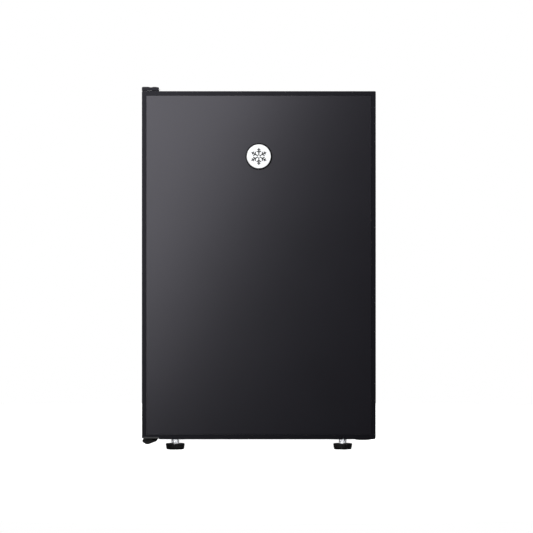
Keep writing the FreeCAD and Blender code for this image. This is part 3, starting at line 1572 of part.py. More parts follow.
def make_compressor_feet():
    """The compressor's foot plate on four rubber grommets, bolted through the tray."""
    left, right = -compressor_left - feet_long / 2, feet_long / 2 - compressor_left
    front, back = bay_middle() - feet_deep / 2, bay_middle() + feet_deep / 2
    plate = block(
        "feet_plate", (left, front, feet_low), (right, back, feet_low + feet_thick), 10, along("z")
    )
    bores = [
        cylinder("feet_bore%d" % index, bolt_radius + 0.3, feet_thick + 2, (across, deep, feet_low - 1))
        for index, (across, deep) in enumerate(bolt_places())
    ]
    node(cut("compressor_foot_plate", plate, bores), "compressor_foot_plate")
    grommets, bolts = [], []
    bore = bolt_radius + 0.3
    for index, (across, deep) in enumerate(bolt_places()):
        points = [
            (bore, 0),
            (grommet_radius, 0),
            (grommet_radius, grommet_tall * 0.35),
            (grommet_radius - 2, grommet_tall * 0.5),
            (grommet_radius, grommet_tall * 0.65),
            (grommet_radius - 1, grommet_tall),
            (bore, grommet_tall),
        ]
        grommets.append(turned("grommet%d" % index, points, (across, deep, carrier_top)))
        top = grommet_tall + feet_thick
        points = [
            (0, -carrier_thick - 3),
            (bolt_radius * 1.8, -carrier_thick - 3),
            (bolt_radius * 1.8, -carrier_thick),
            (bolt_radius, -carrier_thick),
            (bolt_radius, top),
            (bolt_radius * 2.2, top),
            (bolt_radius * 2.2, top + 4),
            (bolt_radius, top + 4.6),
            (bolt_radius, top + 8),
            (0, top + 8),
        ]
        bolts.append(turned("compressor_bolt%d" % index, points, (across, deep, carrier_top)))
    node(group("compressor_grommets", grommets), "compressor_grommets")
    node(group("compressor_bolts", bolts), "compressor_bolts")


riser_x = coil_half + 16
drier_z = shell_low + 50
drier_neck = drier_long + 9
capillary_riser = bay_front + bay_slope + capillary_behind
drier_y = capillary_riser + capillary_lead + drier_tip + drier_neck
foam_middle = cabinet_back - wall_back / 2
loft = ice_top + 6


def suction_route():
    """From the compressor up through the bay's ceiling and the foam to the evaporator."""
    across = -compressor_left - compressor_long / 2 - 40
    deep = foam_middle - 4
    turn = bay_top + wall_step / 2
    return [
        port_place(-1),
        (across, bay_middle(), pipe_z),
        (across, bay_middle(), turn),
        (across, deep, turn),
        (across, deep, loft),
        (across, ice_rear, loft),
    ]


def capillary_route():
    """From the filter drier up through the bay's ceiling and the foam to the evaporator."""
    across = coil_half - 36
    deep = foam_middle - 8
    turn = bay_top + wall_step / 2
    return [
        (coil_half, capillary_riser + capillary_lead, drier_z),
        (coil_half, capillary_riser, drier_z),
        (coil_half, capillary_riser, bay_top - 40),
        (across, capillary_riser, bay_top - 40),
        (across, capillary_riser, turn),
        (across, deep, turn),
        (across, deep, loft),
        (across, ice_rear, loft),
    ]


def make_tubes():
    """Discharge, condenser, drier, capillary and suction: the refrigerant's path, in order."""
    coil_low = cabinet_bottom + coil_start
    coil_high = coil_low + coil_pitch * (coil_runs - 1)
    entry = (coil_half - 10, coil_y, coil_high)
    discharge = [
        port_place(1),
        (riser_x, bay_middle(), pipe_z),
        (riser_x, coil_y, pipe_z),
        (riser_x, coil_y, coil_high),
        entry,
    ]
    node(tube("discharge_tube", discharge, coil_radius, tube_bend), "discharge_tube")
    points = [entry]
    for run in range(coil_runs):
        height = coil_high - coil_pitch * run
        ends = (coil_half, -coil_half) if run % 2 == 0 else (-coil_half, coil_half)
        points += [(across, coil_y, height) for across in ends][1 if run == 0 else 0 :]
    points += [(coil_half, coil_y, drier_z), (coil_half, drier_y, drier_z)]
    node(tube("condenser_coil", points, coil_radius, tube_bend), "condenser_coil")
    profile = [
        (0, 0),
        (coil_radius + 0.8, 0),
        (coil_radius + 0.8, 5),
        (drier_radius, 12),
        (drier_radius, drier_long),
        (capillary_radius + 1.2, drier_neck),
        (capillary_radius + 1.2, drier_neck + drier_tip),
        (0, drier_neck + drier_tip),
    ]
    node(turned("filter_drier", profile, (coil_half, drier_y, drier_z), "-y"), "filter_drier")
    node(tube("capillary_tube", capillary_route(), capillary_radius, tube_bend), "capillary_tube")
    node(tube("suction_tube", suction_route(), suction_radius, tube_bend), "suction_tube")


def make_condenser_trim():
    """The condenser's wires, the two rails that carry it, and the spacers that keep it off the wall."""
    low = cabinet_bottom + coil_start - 12
    high = cabinet_bottom + coil_start + coil_pitch * (coil_runs - 1) + 12
    outward = coil_y + coil_radius + wire_radius + touch_gap
    start = wire_pitch * (wire_count - 1) / 2
    wires = []
    for index in range(wire_count):
        foot = (wire_pitch * index - start, outward, low)
        wires.append(cylinder("condenser_wire%d" % index, wire_radius, high - low, foot))
    node(group("condenser_wires", wires), "condenser_wires")
    rails = []
    for side, hand in ((-1, "left"), (1, "right")):
        middle = side * (coil_half * 0.62)
        near = coil_y - coil_radius - touch_gap
        flange, within = cabinet_back + rail_thick, rail_head - rail_thick
        half = [
            (rail_foot, cabinet_back),
            (rail_foot, flange),
            (rail_head, flange),
            (rail_head, near),
        ]
        back = [(within, near - rail_thick), (within, cabinet_back)]
        points = [(middle + across, deep) for across, deep in half]
        points += [(middle - across, deep) for across, deep in reversed(half)]
        points += [(middle - across, deep) for across, deep in reversed(back)]
        points += [(middle + across, deep) for across, deep in back]
        rails.append(prism("rail_" + hand, "XY", points, low + rail_short, high - rail_short))
    node(group("condenser_rails", rails), "condenser_rails")
    spacers = []
    for side in (-1, 1):
        middle = side * (coil_half * 0.5)
        spacers.append(
            block(
                "spacer%d" % (side + 1),
                (middle - spacer_half, cabinet_back, high + spacer_over),
                (middle + spacer_half, wall_plane, high + spacer_over + spacer_tall),
                5,
                both(along("z"), level("y", wall_plane)),
            )
        )
    node(group("wall_spacers", spacers), "wall_spacers")


def make_cord_gland():
    """The plastic bush that a mains cord passes through, snapped into the tray's tab."""
    waist = inlet_radius - flange_gap
    points = [
        (cord_radius, -gland_front),
        (waist - 0.6, -gland_front),
        (waist, -carrier_thick - 1),
        (waist, 0),
        (inlet_radius + gland_brim, 0),
        (inlet_radius + gland_brim, gland_brim),
        (inlet_radius + 0.4, gland_brim + 1),
        (inlet_radius - 1, gland_rear),
        (cord_radius, gland_rear),
    ]
    node(turned("cord_gland", points, inlet_place(0), "y"), "cord_gland")


# --------------------------------------------------------------------------------------------------
# Feet
# --------------------------------------------------------------------------------------------------


def make_feet():
    for side, hand in ((-1, "left"), (1, "right")):
        across, back = foot_place(side)
        slim = foot_radius - foot_taper
        points = [
            (0, 0),
            (slim - 1.2, 0),
            (slim, 1),
            (foot_radius, foot_tall - 1.4),
            (foot_radius - 1.2, foot_tall),
            (0, foot_tall),
        ]
        title = "front_foot_%s_pad" % hand
        node(turned(title, points, (across, back, 0)), title)
        title = "front_foot_%s_stud" % hand
        points = [
            (0, 0),
            (stud_radius + stud_collar, 0),
            (stud_radius + stud_collar, stud_collar_tall),
            (stud_radius, stud_collar_tall + 0.6),
            (stud_radius, stud_long - 1),
            (stud_radius - 1, stud_long),
            (0, stud_long),
        ]
        node(turned(title, points, (across, back, foot_tall)), title)
    rear = []
    for side in (-1, 1):
        points = [
            (0, 0),
            (rear_foot_radius - 1.5, 0),
            (rear_foot_radius, 1.5),
            (rear_foot_radius - 1.5, floor_clearance),
            (0, floor_clearance),
        ]
        at = (side * foot_spread, cabinet_back - rear_foot_inset, 0)
        rear.append(turned("rear_foot%d" % (side + 1), points, at))
    node(group("rear_feet", rear), "rear_feet")


# --------------------------------------------------------------------------------------------------
# Build, check and write
# --------------------------------------------------------------------------------------------------


def build():
    make_outer_shell()
    make_back_panel()
    make_base_plate()
    make_compressor_tray()
    make_cabinet_foam()
    make_inner_liner()
    make_top_hinge()
    make_lower_hinge()
    make_screws()
    make_hole_plugs()
    make_door_panel()
    make_side_profiles()
    make_caps()
    make_bushes()
    make_door_foam()
    make_door_liner()
    make_gasket()
    make_badge()
    make_racks()
    make_evaporator()
    make_ice_frame()
    make_flap()
    make_drip_tray()
    make_shelves()
    make_thermostat()
    make_knob()
    make_compressor()
    make_tubes()
    make_condenser_trim()
    make_cord_gland()
    make_feet()
    doc.recompute()


def check():
    """Stop before anything is written if an object failed or a sub-part isn't sound."""
    failed = [item.Name for item in doc.Objects if set(item.State) & {"Invalid", "Error"}]
    if failed:
        raise ValueError("failed objects: %s" % ", ".join(failed))
    for bar, volume in swept:
        if abs(bar.Shape.Volume - volume) > 0.01 * volume:
            raise ValueError("%s has volume %.1f and should have %.1f" % (bar.Name, bar.Shape.Volume, volume))
    for piece in subparts:
        shape = piece.Shape
        if shape.isNull() or not shape.isValid() or not shape.Solids or shape.Volume <= 0:
            raise ValueError("%s is not a sound solid" % piece.Label)


def write():
    os.makedirs("parts", exist_ok=True)
    for piece in subparts:
        piece.Shape.exportStep(os.path.join("parts", piece.Label + ".step"))


build()
check()
write()
print("%d sub-parts" % len(subparts))
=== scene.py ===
import json
import math

import bmesh
import bpy
from bpy.props import FloatProperty, FloatVectorProperty, IntProperty, PointerProperty
from mathutils import Matrix, Vector


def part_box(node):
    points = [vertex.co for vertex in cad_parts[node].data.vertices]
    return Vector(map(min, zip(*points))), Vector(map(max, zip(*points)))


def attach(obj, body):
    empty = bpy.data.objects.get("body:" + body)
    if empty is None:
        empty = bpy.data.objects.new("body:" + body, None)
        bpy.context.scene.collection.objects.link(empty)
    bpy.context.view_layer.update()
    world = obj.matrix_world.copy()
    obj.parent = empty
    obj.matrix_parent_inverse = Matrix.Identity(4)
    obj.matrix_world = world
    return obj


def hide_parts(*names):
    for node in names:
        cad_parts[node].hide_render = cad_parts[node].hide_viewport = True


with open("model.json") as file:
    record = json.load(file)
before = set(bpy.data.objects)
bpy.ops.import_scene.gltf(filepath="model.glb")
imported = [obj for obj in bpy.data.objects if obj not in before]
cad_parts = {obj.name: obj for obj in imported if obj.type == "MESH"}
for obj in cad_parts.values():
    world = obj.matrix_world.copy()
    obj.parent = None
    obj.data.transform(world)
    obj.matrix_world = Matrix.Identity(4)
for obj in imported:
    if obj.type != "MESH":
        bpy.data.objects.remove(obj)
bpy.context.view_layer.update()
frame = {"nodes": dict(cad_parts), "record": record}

bl_info = {
    "name": "Compact refrigerator",
    "version": (1, 0, 0),
    "blender": (4, 5, 0),
    "location": "3D View > Sidebar > Fridge",
    "description": "Finishes and fine pieces of a compact refrigerator around its packed frame",
    "category": "Object",
}

MM = 0.001
TURN = 2 * math.pi
WELD = 1e-6
AXIS = 0.01 * MM  # a turned solid starts this far from its axis
UP = Vector((0, 0, 1))
FORWARD = Vector((0, -1, 0))


# --------------------------------------------------------------------------------------------------
# Settings
# --------------------------------------------------------------------------------------------------


def colour(name, note, value):
    """A colour that a user can change."""
    return FloatVectorProperty(
        name=name, description=note, default=value, size=3, min=0, max=1, subtype="COLOR"
    )


def length(name, note, value):
    """A length in metres that a user can change."""
    return FloatProperty(name=name, description=note, default=value, min=0, precision=5, unit="LENGTH")


def share(name, note, value):
    """A number from 0 to 1 that a user can change."""
    return FloatProperty(name=name, description=note, default=value, min=0, max=1, subtype="FACTOR")


def count(name, note, value):
    """A whole number that a user can change."""
    return IntProperty(name=name, description=note, default=value, min=1)


class FridgeFinishes(bpy.types.PropertyGroup):
    """Colours and gloss of the main finishes."""

    door_colour: colour("Door coat", "Graphite coat of the front panel", (0.0100, 0.0096, 0.0130))
    door_rough: share("Door roughness", "Roughness of the door's coat", 0.284)
    trim_colour: colour("Frame", "Plastic of the door's frame", (0.0060, 0.0058, 0.0082))
    trim_rough: share("Frame roughness", "Roughness of the door's frame", 0.42)
    cabinet_colour: colour("Cabinet coat", "Grained coat of the cabinet's shell", (0.030, 0.030, 0.033))
    liner_colour: colour("Liner", "White plastic of both liners", (0.80, 0.81, 0.80))
    fitting_colour: colour("Fittings", "White plastic of the small fittings", (0.74, 0.75, 0.745))
    clear_colour: colour("Racks", "Clear plastic of racks and tray", (0.80, 0.90, 0.93))


class FridgeBadge(bpy.types.PropertyGroup):
    """Sizes of the round badge and of its plain six-armed flake."""

    arm: length("Arm", "Flake centre to the end of an arm", 15.5 * MM)
    bar: length("Bar", "Width of a flake's bar", 1.9 * MM)
    relief: length("Relief", "Flake in front of the disc", 0.25 * MM)
    ripple: length("Spun lines", "Depth of the disc's turned lines", 0.02 * MM)


class FridgeFeet(bpy.types.PropertyGroup):
    """Sizes of the levelling feet."""

    flutes: count("Flutes", "Grip flutes round a pad", 28)
    flute_deep: length("Flute depth", "Depth of a flute", 0.35 * MM)
    pitch: length("Thread pitch", "Pitch of the stud's thread", 1.25 * MM)
    thread_deep: length("Thread depth", "Crest to root of the thread", 0.6 * MM)


class FridgeCooling(bpy.types.PropertyGroup):
    """Sizes of the condenser's wires."""

    wire_pitch: length("Wire pitch", "Condenser wires, side by side", 5.6 * MM)
    wire_radius: length("Wire radius", "Radius of a condenser wire", 0.8 * MM)
    wire_sides: count("Wire sides", "Sides of a wire's section", 6)


class FridgeStudio(bpy.types.PropertyGroup):
    """Place of the camera and of the lights."""

    camera_far: length("Camera distance", "Camera to the door", 5.0)
    camera_high: length("Camera height", "Lens above the floor", 0.3427)
    camera_side: length("Camera side step", "Lens to the right of the middle", 0.0141)
    view_wide: length("View width", "Width that the camera takes in at the door", 0.9793)
    key_power: FloatProperty(name="Key power", description="Power of the main softbox", default=28.0, min=0)
    ambient: share("Ambient", "Even light from all round", 0.025)


class FridgeSettings(bpy.types.PropertyGroup):
    """All settings of the refrigerator."""

    finishes: PointerProperty(type=FridgeFinishes, name="Finishes", description="Colours and gloss")
    badge: PointerProperty(type=FridgeBadge, name="Badge", description="The round badge")
    feet: PointerProperty(type=FridgeFeet, name="Feet", description="The levelling feet")
    cooling: PointerProperty(type=FridgeCooling, name="Cooling", description="The condenser")
    studio: PointerProperty(type=FridgeStudio, name="Studio", description="Camera and lights")


# --------------------------------------------------------------------------------------------------
# Finishes
# --------------------------------------------------------------------------------------------------


class Finish:
    """A material in the making: its nodes, its shader and the piece's own coordinates."""

    def __init__(self, name, base, rough, metal=0.0, **plain):
        self.made = bpy.data.materials.new(name)
        self.made.use_nodes = True
        self.made.diffuse_color = (*base, 1.0)
        self.nodes = self.made.node_tree.nodes
        self.links = self.made.node_tree.links
        self.shader = self.nodes["Principled BSDF"]
        self.shader.inputs["Base Color"].default_value = (*base, 1.0)
        self.shader.inputs["Roughness"].default_value = rough
        self.shader.inputs["Metallic"].default_value = metal
        for socket, value in plain.items():
            self.shader.inputs[socket.replace("_", " ")].default_value = value
        self.place = self.nodes.new("ShaderNodeTexCoord").outputs["Object"]
        self.bump_normal = None

    def stretched(self, stretch):
        """The piece's coordinates, scaled along each axis."""
        mapping = self.nodes.new("ShaderNodeMapping")
        mapping.inputs["Scale"].default_value = stretch
        self.links.new(self.place, mapping.inputs["Vector"])
        return mapping.outputs["Vector"]

    def noise(self, scale, detail=2.0, stretch=(1, 1, 1)):
        """Soft noise with this many cells per metre."""
        noise = self.nodes.new("ShaderNodeTexNoise")
        noise.inputs["Scale"].default_value = scale
        noise.inputs["Detail"].default_value = detail
        self.links.new(self.stretched(stretch), noise.inputs["Vector"])
        return noise.outputs["Fac"]

    def cells(self, scale, output="Distance"):
        """Round cells, this many per metre."""
        cells = self.nodes.new("ShaderNodeTexVoronoi")
        cells.inputs["Scale"].default_value = scale
        self.links.new(self.place, cells.inputs["Vector"])
        return cells.outputs[output]

    def between(self, value, low, high, start, end):
        """A value taken from one range, start to end, to another, low to high."""
        spread = self.nodes.new("ShaderNodeMapRange")
        for socket, number in (("From Min", start), ("From Max", end), ("To Min", low), ("To Max", high)):
            spread.inputs[socket].default_value = number
        self.links.new(value, spread.inputs["Value"])
        return spread.outputs["Result"]

    def tint(self, value, first, second, start=0.3, end=0.7):
        """Colour the surface from one colour to another by a value."""
        ramp = self.nodes.new("ShaderNodeValToRGB")
        ramp.color_ramp.elements[0].position = start
        ramp.color_ramp.elements[1].position = end
        ramp.color_ramp.elements[0].color = (*first, 1.0)
        ramp.color_ramp.elements[1].color = (*second, 1.0)
        self.links.new(value, ramp.inputs["Fac"])
        self.links.new(ramp.outputs["Color"], self.shader.inputs["Base Color"])
        return self

    def gloss(self, value, low, high, start=0.3, end=0.7):
        """Vary the roughness by a value."""
        self.links.new(self.between(value, low, high, start, end), self.shader.inputs["Roughness"])
        return self

    def bump(self, value, deep, strength):
        """Add relief of this depth; calls add up."""
        bump = self.nodes.new("ShaderNodeBump")
        bump.inputs["Distance"].default_value = deep
        bump.inputs["Strength"].default_value = strength
        self.links.new(value, bump.inputs["Height"])
        if self.bump_normal is not None:
            self.links.new(self.bump_normal, bump.inputs["Normal"])
        self.bump_normal = bump.outputs["Normal"]
        self.links.new(self.bump_normal, self.shader.inputs["Normal"])
        return self


def shade(base, factor):
    """A colour made lighter or darker."""
    return tuple(min(1.0, channel * factor) for channel in base)


def door_graphite(settings):
    """Semi-gloss coated steel with a faint flow of the coat."""
    base = tuple(settings.door_colour)
    finish = Finish("graphite door coat", base, settings.door_rough, Specular_Tint=(0.93, 0.91, 1.0, 1.0))
    finish.tint(finish.noise(9, 1.0), shade(base, 0.94), shade(base, 1.06))
    finish.bump(finish.noise(160, 1.0), 0.012 * MM, 0.3)
    return finish.made


def cabinet_paint(settings):
    """Coated steel with the fine leather grain that hides finger marks."""
    base = tuple(settings.cabinet_colour)
    finish = Finish("grained cabinet coat", base, 0.46)
    finish.tint(finish.cells(620), shade(base, 1.12), shade(base, 0.86), 0.1, 0.6)
    finish.bump(finish.cells(620), 0.10 * MM, 0.55)
    finish.bump(finish.noise(60, 1.0), 0.15 * MM, 0.3)
    return finish.made


def moulded(name, base, rough, grain=900, deep=0.03, **plain):
    """Moulded plastic: a fine even grain and a trace of flow."""
    finish = Finish(name, base, rough, **plain)
    fine = finish.noise(grain, 2.0)
    finish.tint(finish.noise(25, 2.0), shade(base, 0.96), shade(base, 1.04))
    finish.gloss(fine, rough - 0.04, rough + 0.06)
    finish.bump(fine, deep * MM, 0.5)
    return finish.made


def frame_plastic(settings):
    """Satin plastic of the door's frame."""
    look = {"Specular_IOR_Level": 0.15, "Specular_Tint": (0.91, 0.90, 1.0, 1.0)}
    base = tuple(settings.trim_colour)
    return moulded("satin frame plastic", base, settings.trim_rough, 1400, 0.01, **look)


def cover_plastic(settings):
    """Black plastic of the small caps and plugs."""
    base = (0.0075, 0.0075, 0.0082)
    return moulded("black moulded plastic", base, 0.55, 1100, 0.05, Specular_IOR_Level=0.2)


def foot_black(settings):
    """Dull black plastic of the feet's pads."""
    base = (0.0035, 0.0035, 0.0038)
    return moulded("black foot plastic", base, 0.6, 900, 0.05, Specular_IOR_Level=0.1)


def liner_white(settings):
    """Thermoformed sheet: glossy, with the faint orange peel of drawn plastic."""
    base = tuple(settings.liner_colour)
    finish = Finish("drawn white liner", base, 0.28)
    finish.gloss(finish.noise(700, 2.0), 0.27, 0.33)
    finish.tint(finish.noise(6, 1.0), shade(base, 0.985), base)
    finish.bump(finish.noise(420, 1.0), 0.006 * MM, 0.3)
    return finish.made


def fitting_white(settings):
    """White plastic of the small fittings."""
    return moulded("white moulded fittings", tuple(settings.fitting_colour), 0.42, 1000, 0.03)


def clear_plastic(settings):
    """Clear plastic with a cool cast and a lightly frosted skin."""
    base = tuple(settings.clear_colour)
    finish = Finish("clear rack plastic", base, 0.08, IOR=1.49, Transmission_Weight=0.92)
    finish.gloss(finish.noise(120, 2.0), 0.05, 0.16)
    finish.bump(finish.noise(300, 1.0), 0.02 * MM, 0.3)
    return finish.made


def zinc_sheet(settings):
    """Hot-dip zinc: flat crystals that take the light differently."""
    finish = Finish("galvanised sheet", (0.56, 0.57, 0.58), 0.36, 1.0)
    crystal = finish.cells(150, "Color")
    split = finish.nodes.new("ShaderNodeSeparateColor")
    finish.links.new(crystal, split.inputs["Color"])
    finish.tint(split.outputs["Red"], (0.44, 0.45, 0.47), (0.62, 0.63, 0.64), 0.0, 1.0)
    finish.gloss(split.outputs["Green"], 0.28, 0.48, 0.0, 1.0)
    finish.bump(finish.noise(1200, 2.0), 0.01 * MM, 0.4)
    return finish.made


def hinge_steel(settings):
    """Bright zinc plate with fine rolling lines."""
    finish = Finish("zinc plated steel", (0.66, 0.67, 0.69), 0.30, 1.0)
    lines = finish.noise(700, 2.0, (1.0, 0.08, 1.0))
    finish.gloss(lines, 0.24, 0.40)
    finish.tint(finish.noise(90, 3.0), (0.60, 0.60, 0.60), (0.70, 0.71, 0.73))
    finish.bump(lines, 0.01 * MM, 0.4)
    return finish.made


def stud_zinc(settings):
    """Matt zinc on a thread: it takes the light softly."""
    finish = Finish("matt zinc thread", (0.80, 0.81, 0.83), 0.55, 1.0)
    finish.gloss(finish.noise(500, 2.0), 0.5, 0.62)
    finish.tint(finish.noise(120, 3.0), (0.74, 0.74, 0.75), (0.84, 0.85, 0.87))
    return finish.made


def hinge_paint(settings):
    """Black powder coat on steel: a fine, dry texture."""
    finish = Finish("black powder coat", (0.0085, 0.0085, 0.009), 0.62, Specular_IOR_Level=0.35)
    finish.tint(finish.noise(60, 2.0), (0.0075, 0.0075, 0.008), (0.010, 0.010, 0.0105))
    finish.bump(finish.cells(1300), 0.03 * MM, 0.5)
    return finish.made


def insulation(settings):
    """Closed-cell foam: pale, with fine pores."""
    finish = Finish("pale foam", (0.72, 0.62, 0.40), 0.85)
    finish.tint(finish.cells(700), (0.74, 0.64, 0.42), (0.60, 0.50, 0.30), 0.2, 0.8)
    finish.bump(finish.cells(700), 0.2 * MM, 0.7)
    return finish.made


def seal_rubber(settings):
    """Soft grey gasket vinyl with a dusty bloom."""
    finish = Finish("soft grey seal", (0.085, 0.086, 0.09), 0.58, Sheen_Weight=0.12)
    finish.tint(finish.noise(70, 3.0), (0.075, 0.076, 0.08), (0.10, 0.10, 0.105))
    finish.bump(finish.noise(1300, 2.0), 0.02 * MM, 0.5)
    return finish.made


def magnet(settings):
    """Bonded ferrite of the gasket's strips."""
    return moulded("bonded ferrite", (0.035, 0.028, 0.024), 0.7, 1500, 0.03)


def bush_nylon(settings):
    """Dark nylon of the hinge bushes."""
    return moulded("dark grey nylon", (0.028, 0.028, 0.030), 0.55, 1200, 0.02)


def badge_dark(settings):
    """Near-black satin plastic with almost no reflection: on the ring round the disc this near-black is
    painted shade, the shadow line round the raised disc; on the flake it is the mark's own dark colour.
    """
    # painted shade: on the ring, the near-black colour and weak reflection stand in for the shadow line
    # round the disc
    finish = Finish("badge ring painted shade and black flake", (0.003, 0.003, 0.0034), 0.55, Specular_IOR_Level=0.06)
    finish.gloss(finish.noise(300, 2.0), 0.5, 0.6)
    return finish.made


def badge_bright(settings):
    """Pearl-white lacquer over a spun disc."""
    finish = Finish("pearl badge disc", (0.86, 0.87, 0.885), 0.32, 0.0, Coat_Weight=0.4, Coat_Roughness=0.12)
    finish.tint(finish.noise(500, 2.0), (0.82, 0.83, 0.85), (0.89, 0.90, 0.915))
    finish.bump(finish.noise(1500, 1.0), 0.008 * MM, 0.5)
    return finish.made


def evaporator_metal(settings):
    """Bare rolled aluminium with lines along the sheet."""
    finish = Finish("rolled aluminium", (0.78, 0.79, 0.80), 0.36, 1.0)
    lines = finish.noise(900, 3.0, (0.05, 1.0, 1.0))
    finish.gloss(lines, 0.30, 0.46)
    finish.tint(finish.noise(30, 3.0), (0.70, 0.71, 0.72), (0.82, 0.83, 0.84))
    finish.bump(lines, 0.012 * MM, 0.5)
    return finish.made


def shelf_wire(settings):
    """Steel wire under a white dip coat."""
    return moulded("white dipped wire", (0.74, 0.745, 0.74), 0.32, 500, 0.04)


def compressor_black(settings):
    """Stoved enamel: deep black with a soft orange peel."""
    finish = Finish("black stoved enamel", (0.011, 0.011, 0.012), 0.30, Coat_Weight=0.3, Coat_Roughness=0.2)
    finish.tint(finish.noise(45, 3.0), (0.009, 0.009, 0.010), (0.017, 0.017, 0.018))
    finish.bump(finish.noise(330, 1.0), 0.05 * MM, 0.6)
    return finish.made


def copper(settings):
    """Copper tube, browned by brazing and by air."""
    finish = Finish("aired copper", (0.70, 0.36, 0.22), 0.34, 1.0)
    finish.tint(finish.noise(60, 4.0), (0.40, 0.20, 0.13), (0.80, 0.43, 0.28), 0.35, 0.6)
    finish.gloss(finish.noise(110, 3.0), 0.26, 0.5)
    finish.bump(finish.noise(900, 2.0), 0.01 * MM, 0.4)
    return finish.made


def dial_ink(settings):
    """Print of the dial's numbers and the knob's pointer."""
    return moulded("grey dial print", (0.06, 0.065, 0.075), 0.5, 900, 0.01)


FINISHES = {
    maker.__name__: maker
    for maker in (
        door_graphite,
        cabinet_paint,
        frame_plastic,
        cover_plastic,
        foot_black,
        liner_white,
        fitting_white,
        clear_plastic,
        zinc_sheet,
        hinge_steel,
        stud_zinc,
        hinge_paint,
        insulation,
        seal_rubber,
        magnet,
        bush_nylon,
        badge_dark,
        badge_bright,
        evaporator_metal,
        shelf_wire,
        compressor_black,
        copper,
        dial_ink,
    )
}
ready_finishes = {}


def finish_for(name):
    """The material of a finish, made the first time that it is asked for."""
    if name not in ready_finishes:
        ready_finishes[name] = FINISHES[name](bpy.context.scene.fridge.finishes)
    return ready_finishes[name]


# --------------------------------------------------------------------------------------------------
# Building blocks
# --------------------------------------------------------------------------------------------------


def smoothed(mesh, smooth_under=40):
    """Shade a mesh smooth over the edges under this angle and sharp over the others."""
    mesh.shade_smooth()
    mesh.set_sharp_from_angle(angle=math.radians(smooth_under))
    return mesh


def solid(name, corners, faces, smooth_under=40):
    """A mesh from corners and faces, facing outwards, smooth over gentle edges."""
    mesh = bpy.data.meshes.new(name)
    mesh.from_pydata([tuple(corner) for corner in corners], [], faces)
    return tidied(mesh, smooth_under)


def tidied(mesh, smooth_under=40):
    """Weld, turn the faces outwards and mark the sharp edges."""
    work = bmesh.new()
    work.from_mesh(mesh)
    bmesh.ops.remove_doubles(work, verts=work.verts, dist=WELD)
    bmesh.ops.recalc_face_normals(work, faces=work.faces)
    work.to_mesh(mesh)
    work.free()
    smoothed(mesh, smooth_under)
    mesh.update()
    return mesh


def outward(mesh):
    """Turn a mesh's faces outwards, each closed bar by itself, without welding them."""
    work = bmesh.new()
    work.from_mesh(mesh)
    bmesh.ops.recalc_face_normals(work, faces=work.faces)
    work.to_mesh(mesh)
    work.free()
    return mesh


def joined(name, meshes):
    """Several meshes as one."""
    work = bmesh.new()
    for mesh in meshes:
        work.from_mesh(mesh)
    mesh = bpy.data.meshes.new(name)
    work.to_mesh(mesh)
    work.free()
    return smoothed(mesh)


def turned(name, profile, sides, lay, reach=None, ring=False):
    """A solid turned from (radius, height) corners; reach may vary the radius round it."""
    corners = []
    for radius, height in profile:
        for step in range(sides):
            angle = TURN * step / sides
            out = reach(angle, radius, height) if reach else radius
            corners.append(lay @ Vector((out * math.cos(angle), out * math.sin(angle), height)))
    faces = []
    rows = len(profile)
    for row in range(rows if ring else rows - 1):
        for step in range(sides):
            after = (step + 1) % sides
            above = (row + 1) % rows
            here, there = row * sides, above * sides
            faces.append((here + step, here + after, there + after, there + step))
    if not ring:
        faces.append(tuple(reversed(range(sides))))
        faces.append(tuple((rows - 1) * sides + step for step in range(sides)))
    return solid(name, corners, faces)


def box_of(corners):
    """The lowest and the highest corner of the box round some corners."""
    low = Vector(min(corner[i] for corner in corners) for i in range(3))
    high = Vector(max(corner[i] for corner in corners) for i in range(3))
    return low, high


def underside(low, high):
    """The middle of a box's underside."""
    return Vector(((low.x + high.x) / 2, (low.y + high.y) / 2, low.z))


def laid(at, towards=UP):
    """The matrix that stands a piece's own Z axis along a direction, at a place."""
    return Matrix.Translation(at) @ UP.rotation_difference(Vector(towards)).to_matrix().to_4x4()


def evaluated(thing, name):
    """The finished mesh of an object with its modifiers or its curve, and the object gone."""
    graph = bpy.context.evaluated_depsgraph_get()
    graph.update()
    mesh = bpy.data.meshes.new_from_object(
        thing.evaluated_get(graph), preserve_all_data_layers=True, depsgraph=graph
    )
    mesh.name = name
    data = thing.data
    bpy.data.objects.remove(thing)
    if isinstance(data, bpy.types.Mesh):
        bpy.data.meshes.remove(data)
    else:
        bpy.data.curves.remove(data)
    return mesh


def holder(name, data):
    """A passing object for some data, at the origin."""
    thing = bpy.data.objects.new(name, data)
    bpy.context.scene.collection.objects.link(thing)
    return thing


def joined_copy(node):
    """A CAD node's mesh with its loose triangles joined into flat faces."""
    source = frame["nodes"][node].data
    work = bmesh.new()
    work.from_mesh(source)
    bmesh.ops.remove_doubles(work, verts=work.verts, dist=WELD)
    bmesh.ops.dissolve_limit(work, angle_limit=math.radians(1), verts=work.verts, edges=work.edges)
    work.verts.index_update()
    corners = [corner.co.copy() for corner in work.verts]
    faces = [[corner.index for corner in face.verts] for face in work.faces]
    work.free()
    mesh = bpy.data.meshes.new(node + "_copy")
    mesh.from_pydata(corners, [], faces)
    return mesh


def softened(node, radius, steps=3):
    """A copy of a CAD node with its edges rounded and its flat faces kept flat."""
    mesh = joined_copy(node)
    mesh.shade_smooth()
    thing = holder(node + "_soft", mesh)
    bevel = thing.modifiers.new("edges", "BEVEL")
    bevel.width = radius
    bevel.segments = steps
    bevel.limit_method = "ANGLE"
    bevel.angle_limit = math.radians(35)
    bevel.harden_normals = True
    return evaluated(thing, node + "_soft")


def body_of(node):
    """The body that a CAD node belongs to."""
    return next(body for body, nodes in frame["record"]["behaviour"]["bodies"].items() if node in nodes)


def slot_of(node):
    """The finish slot of a CAD node."""
    return next(row["material_slot"] for row in frame["record"]["subparts"] if row["node"] == node)


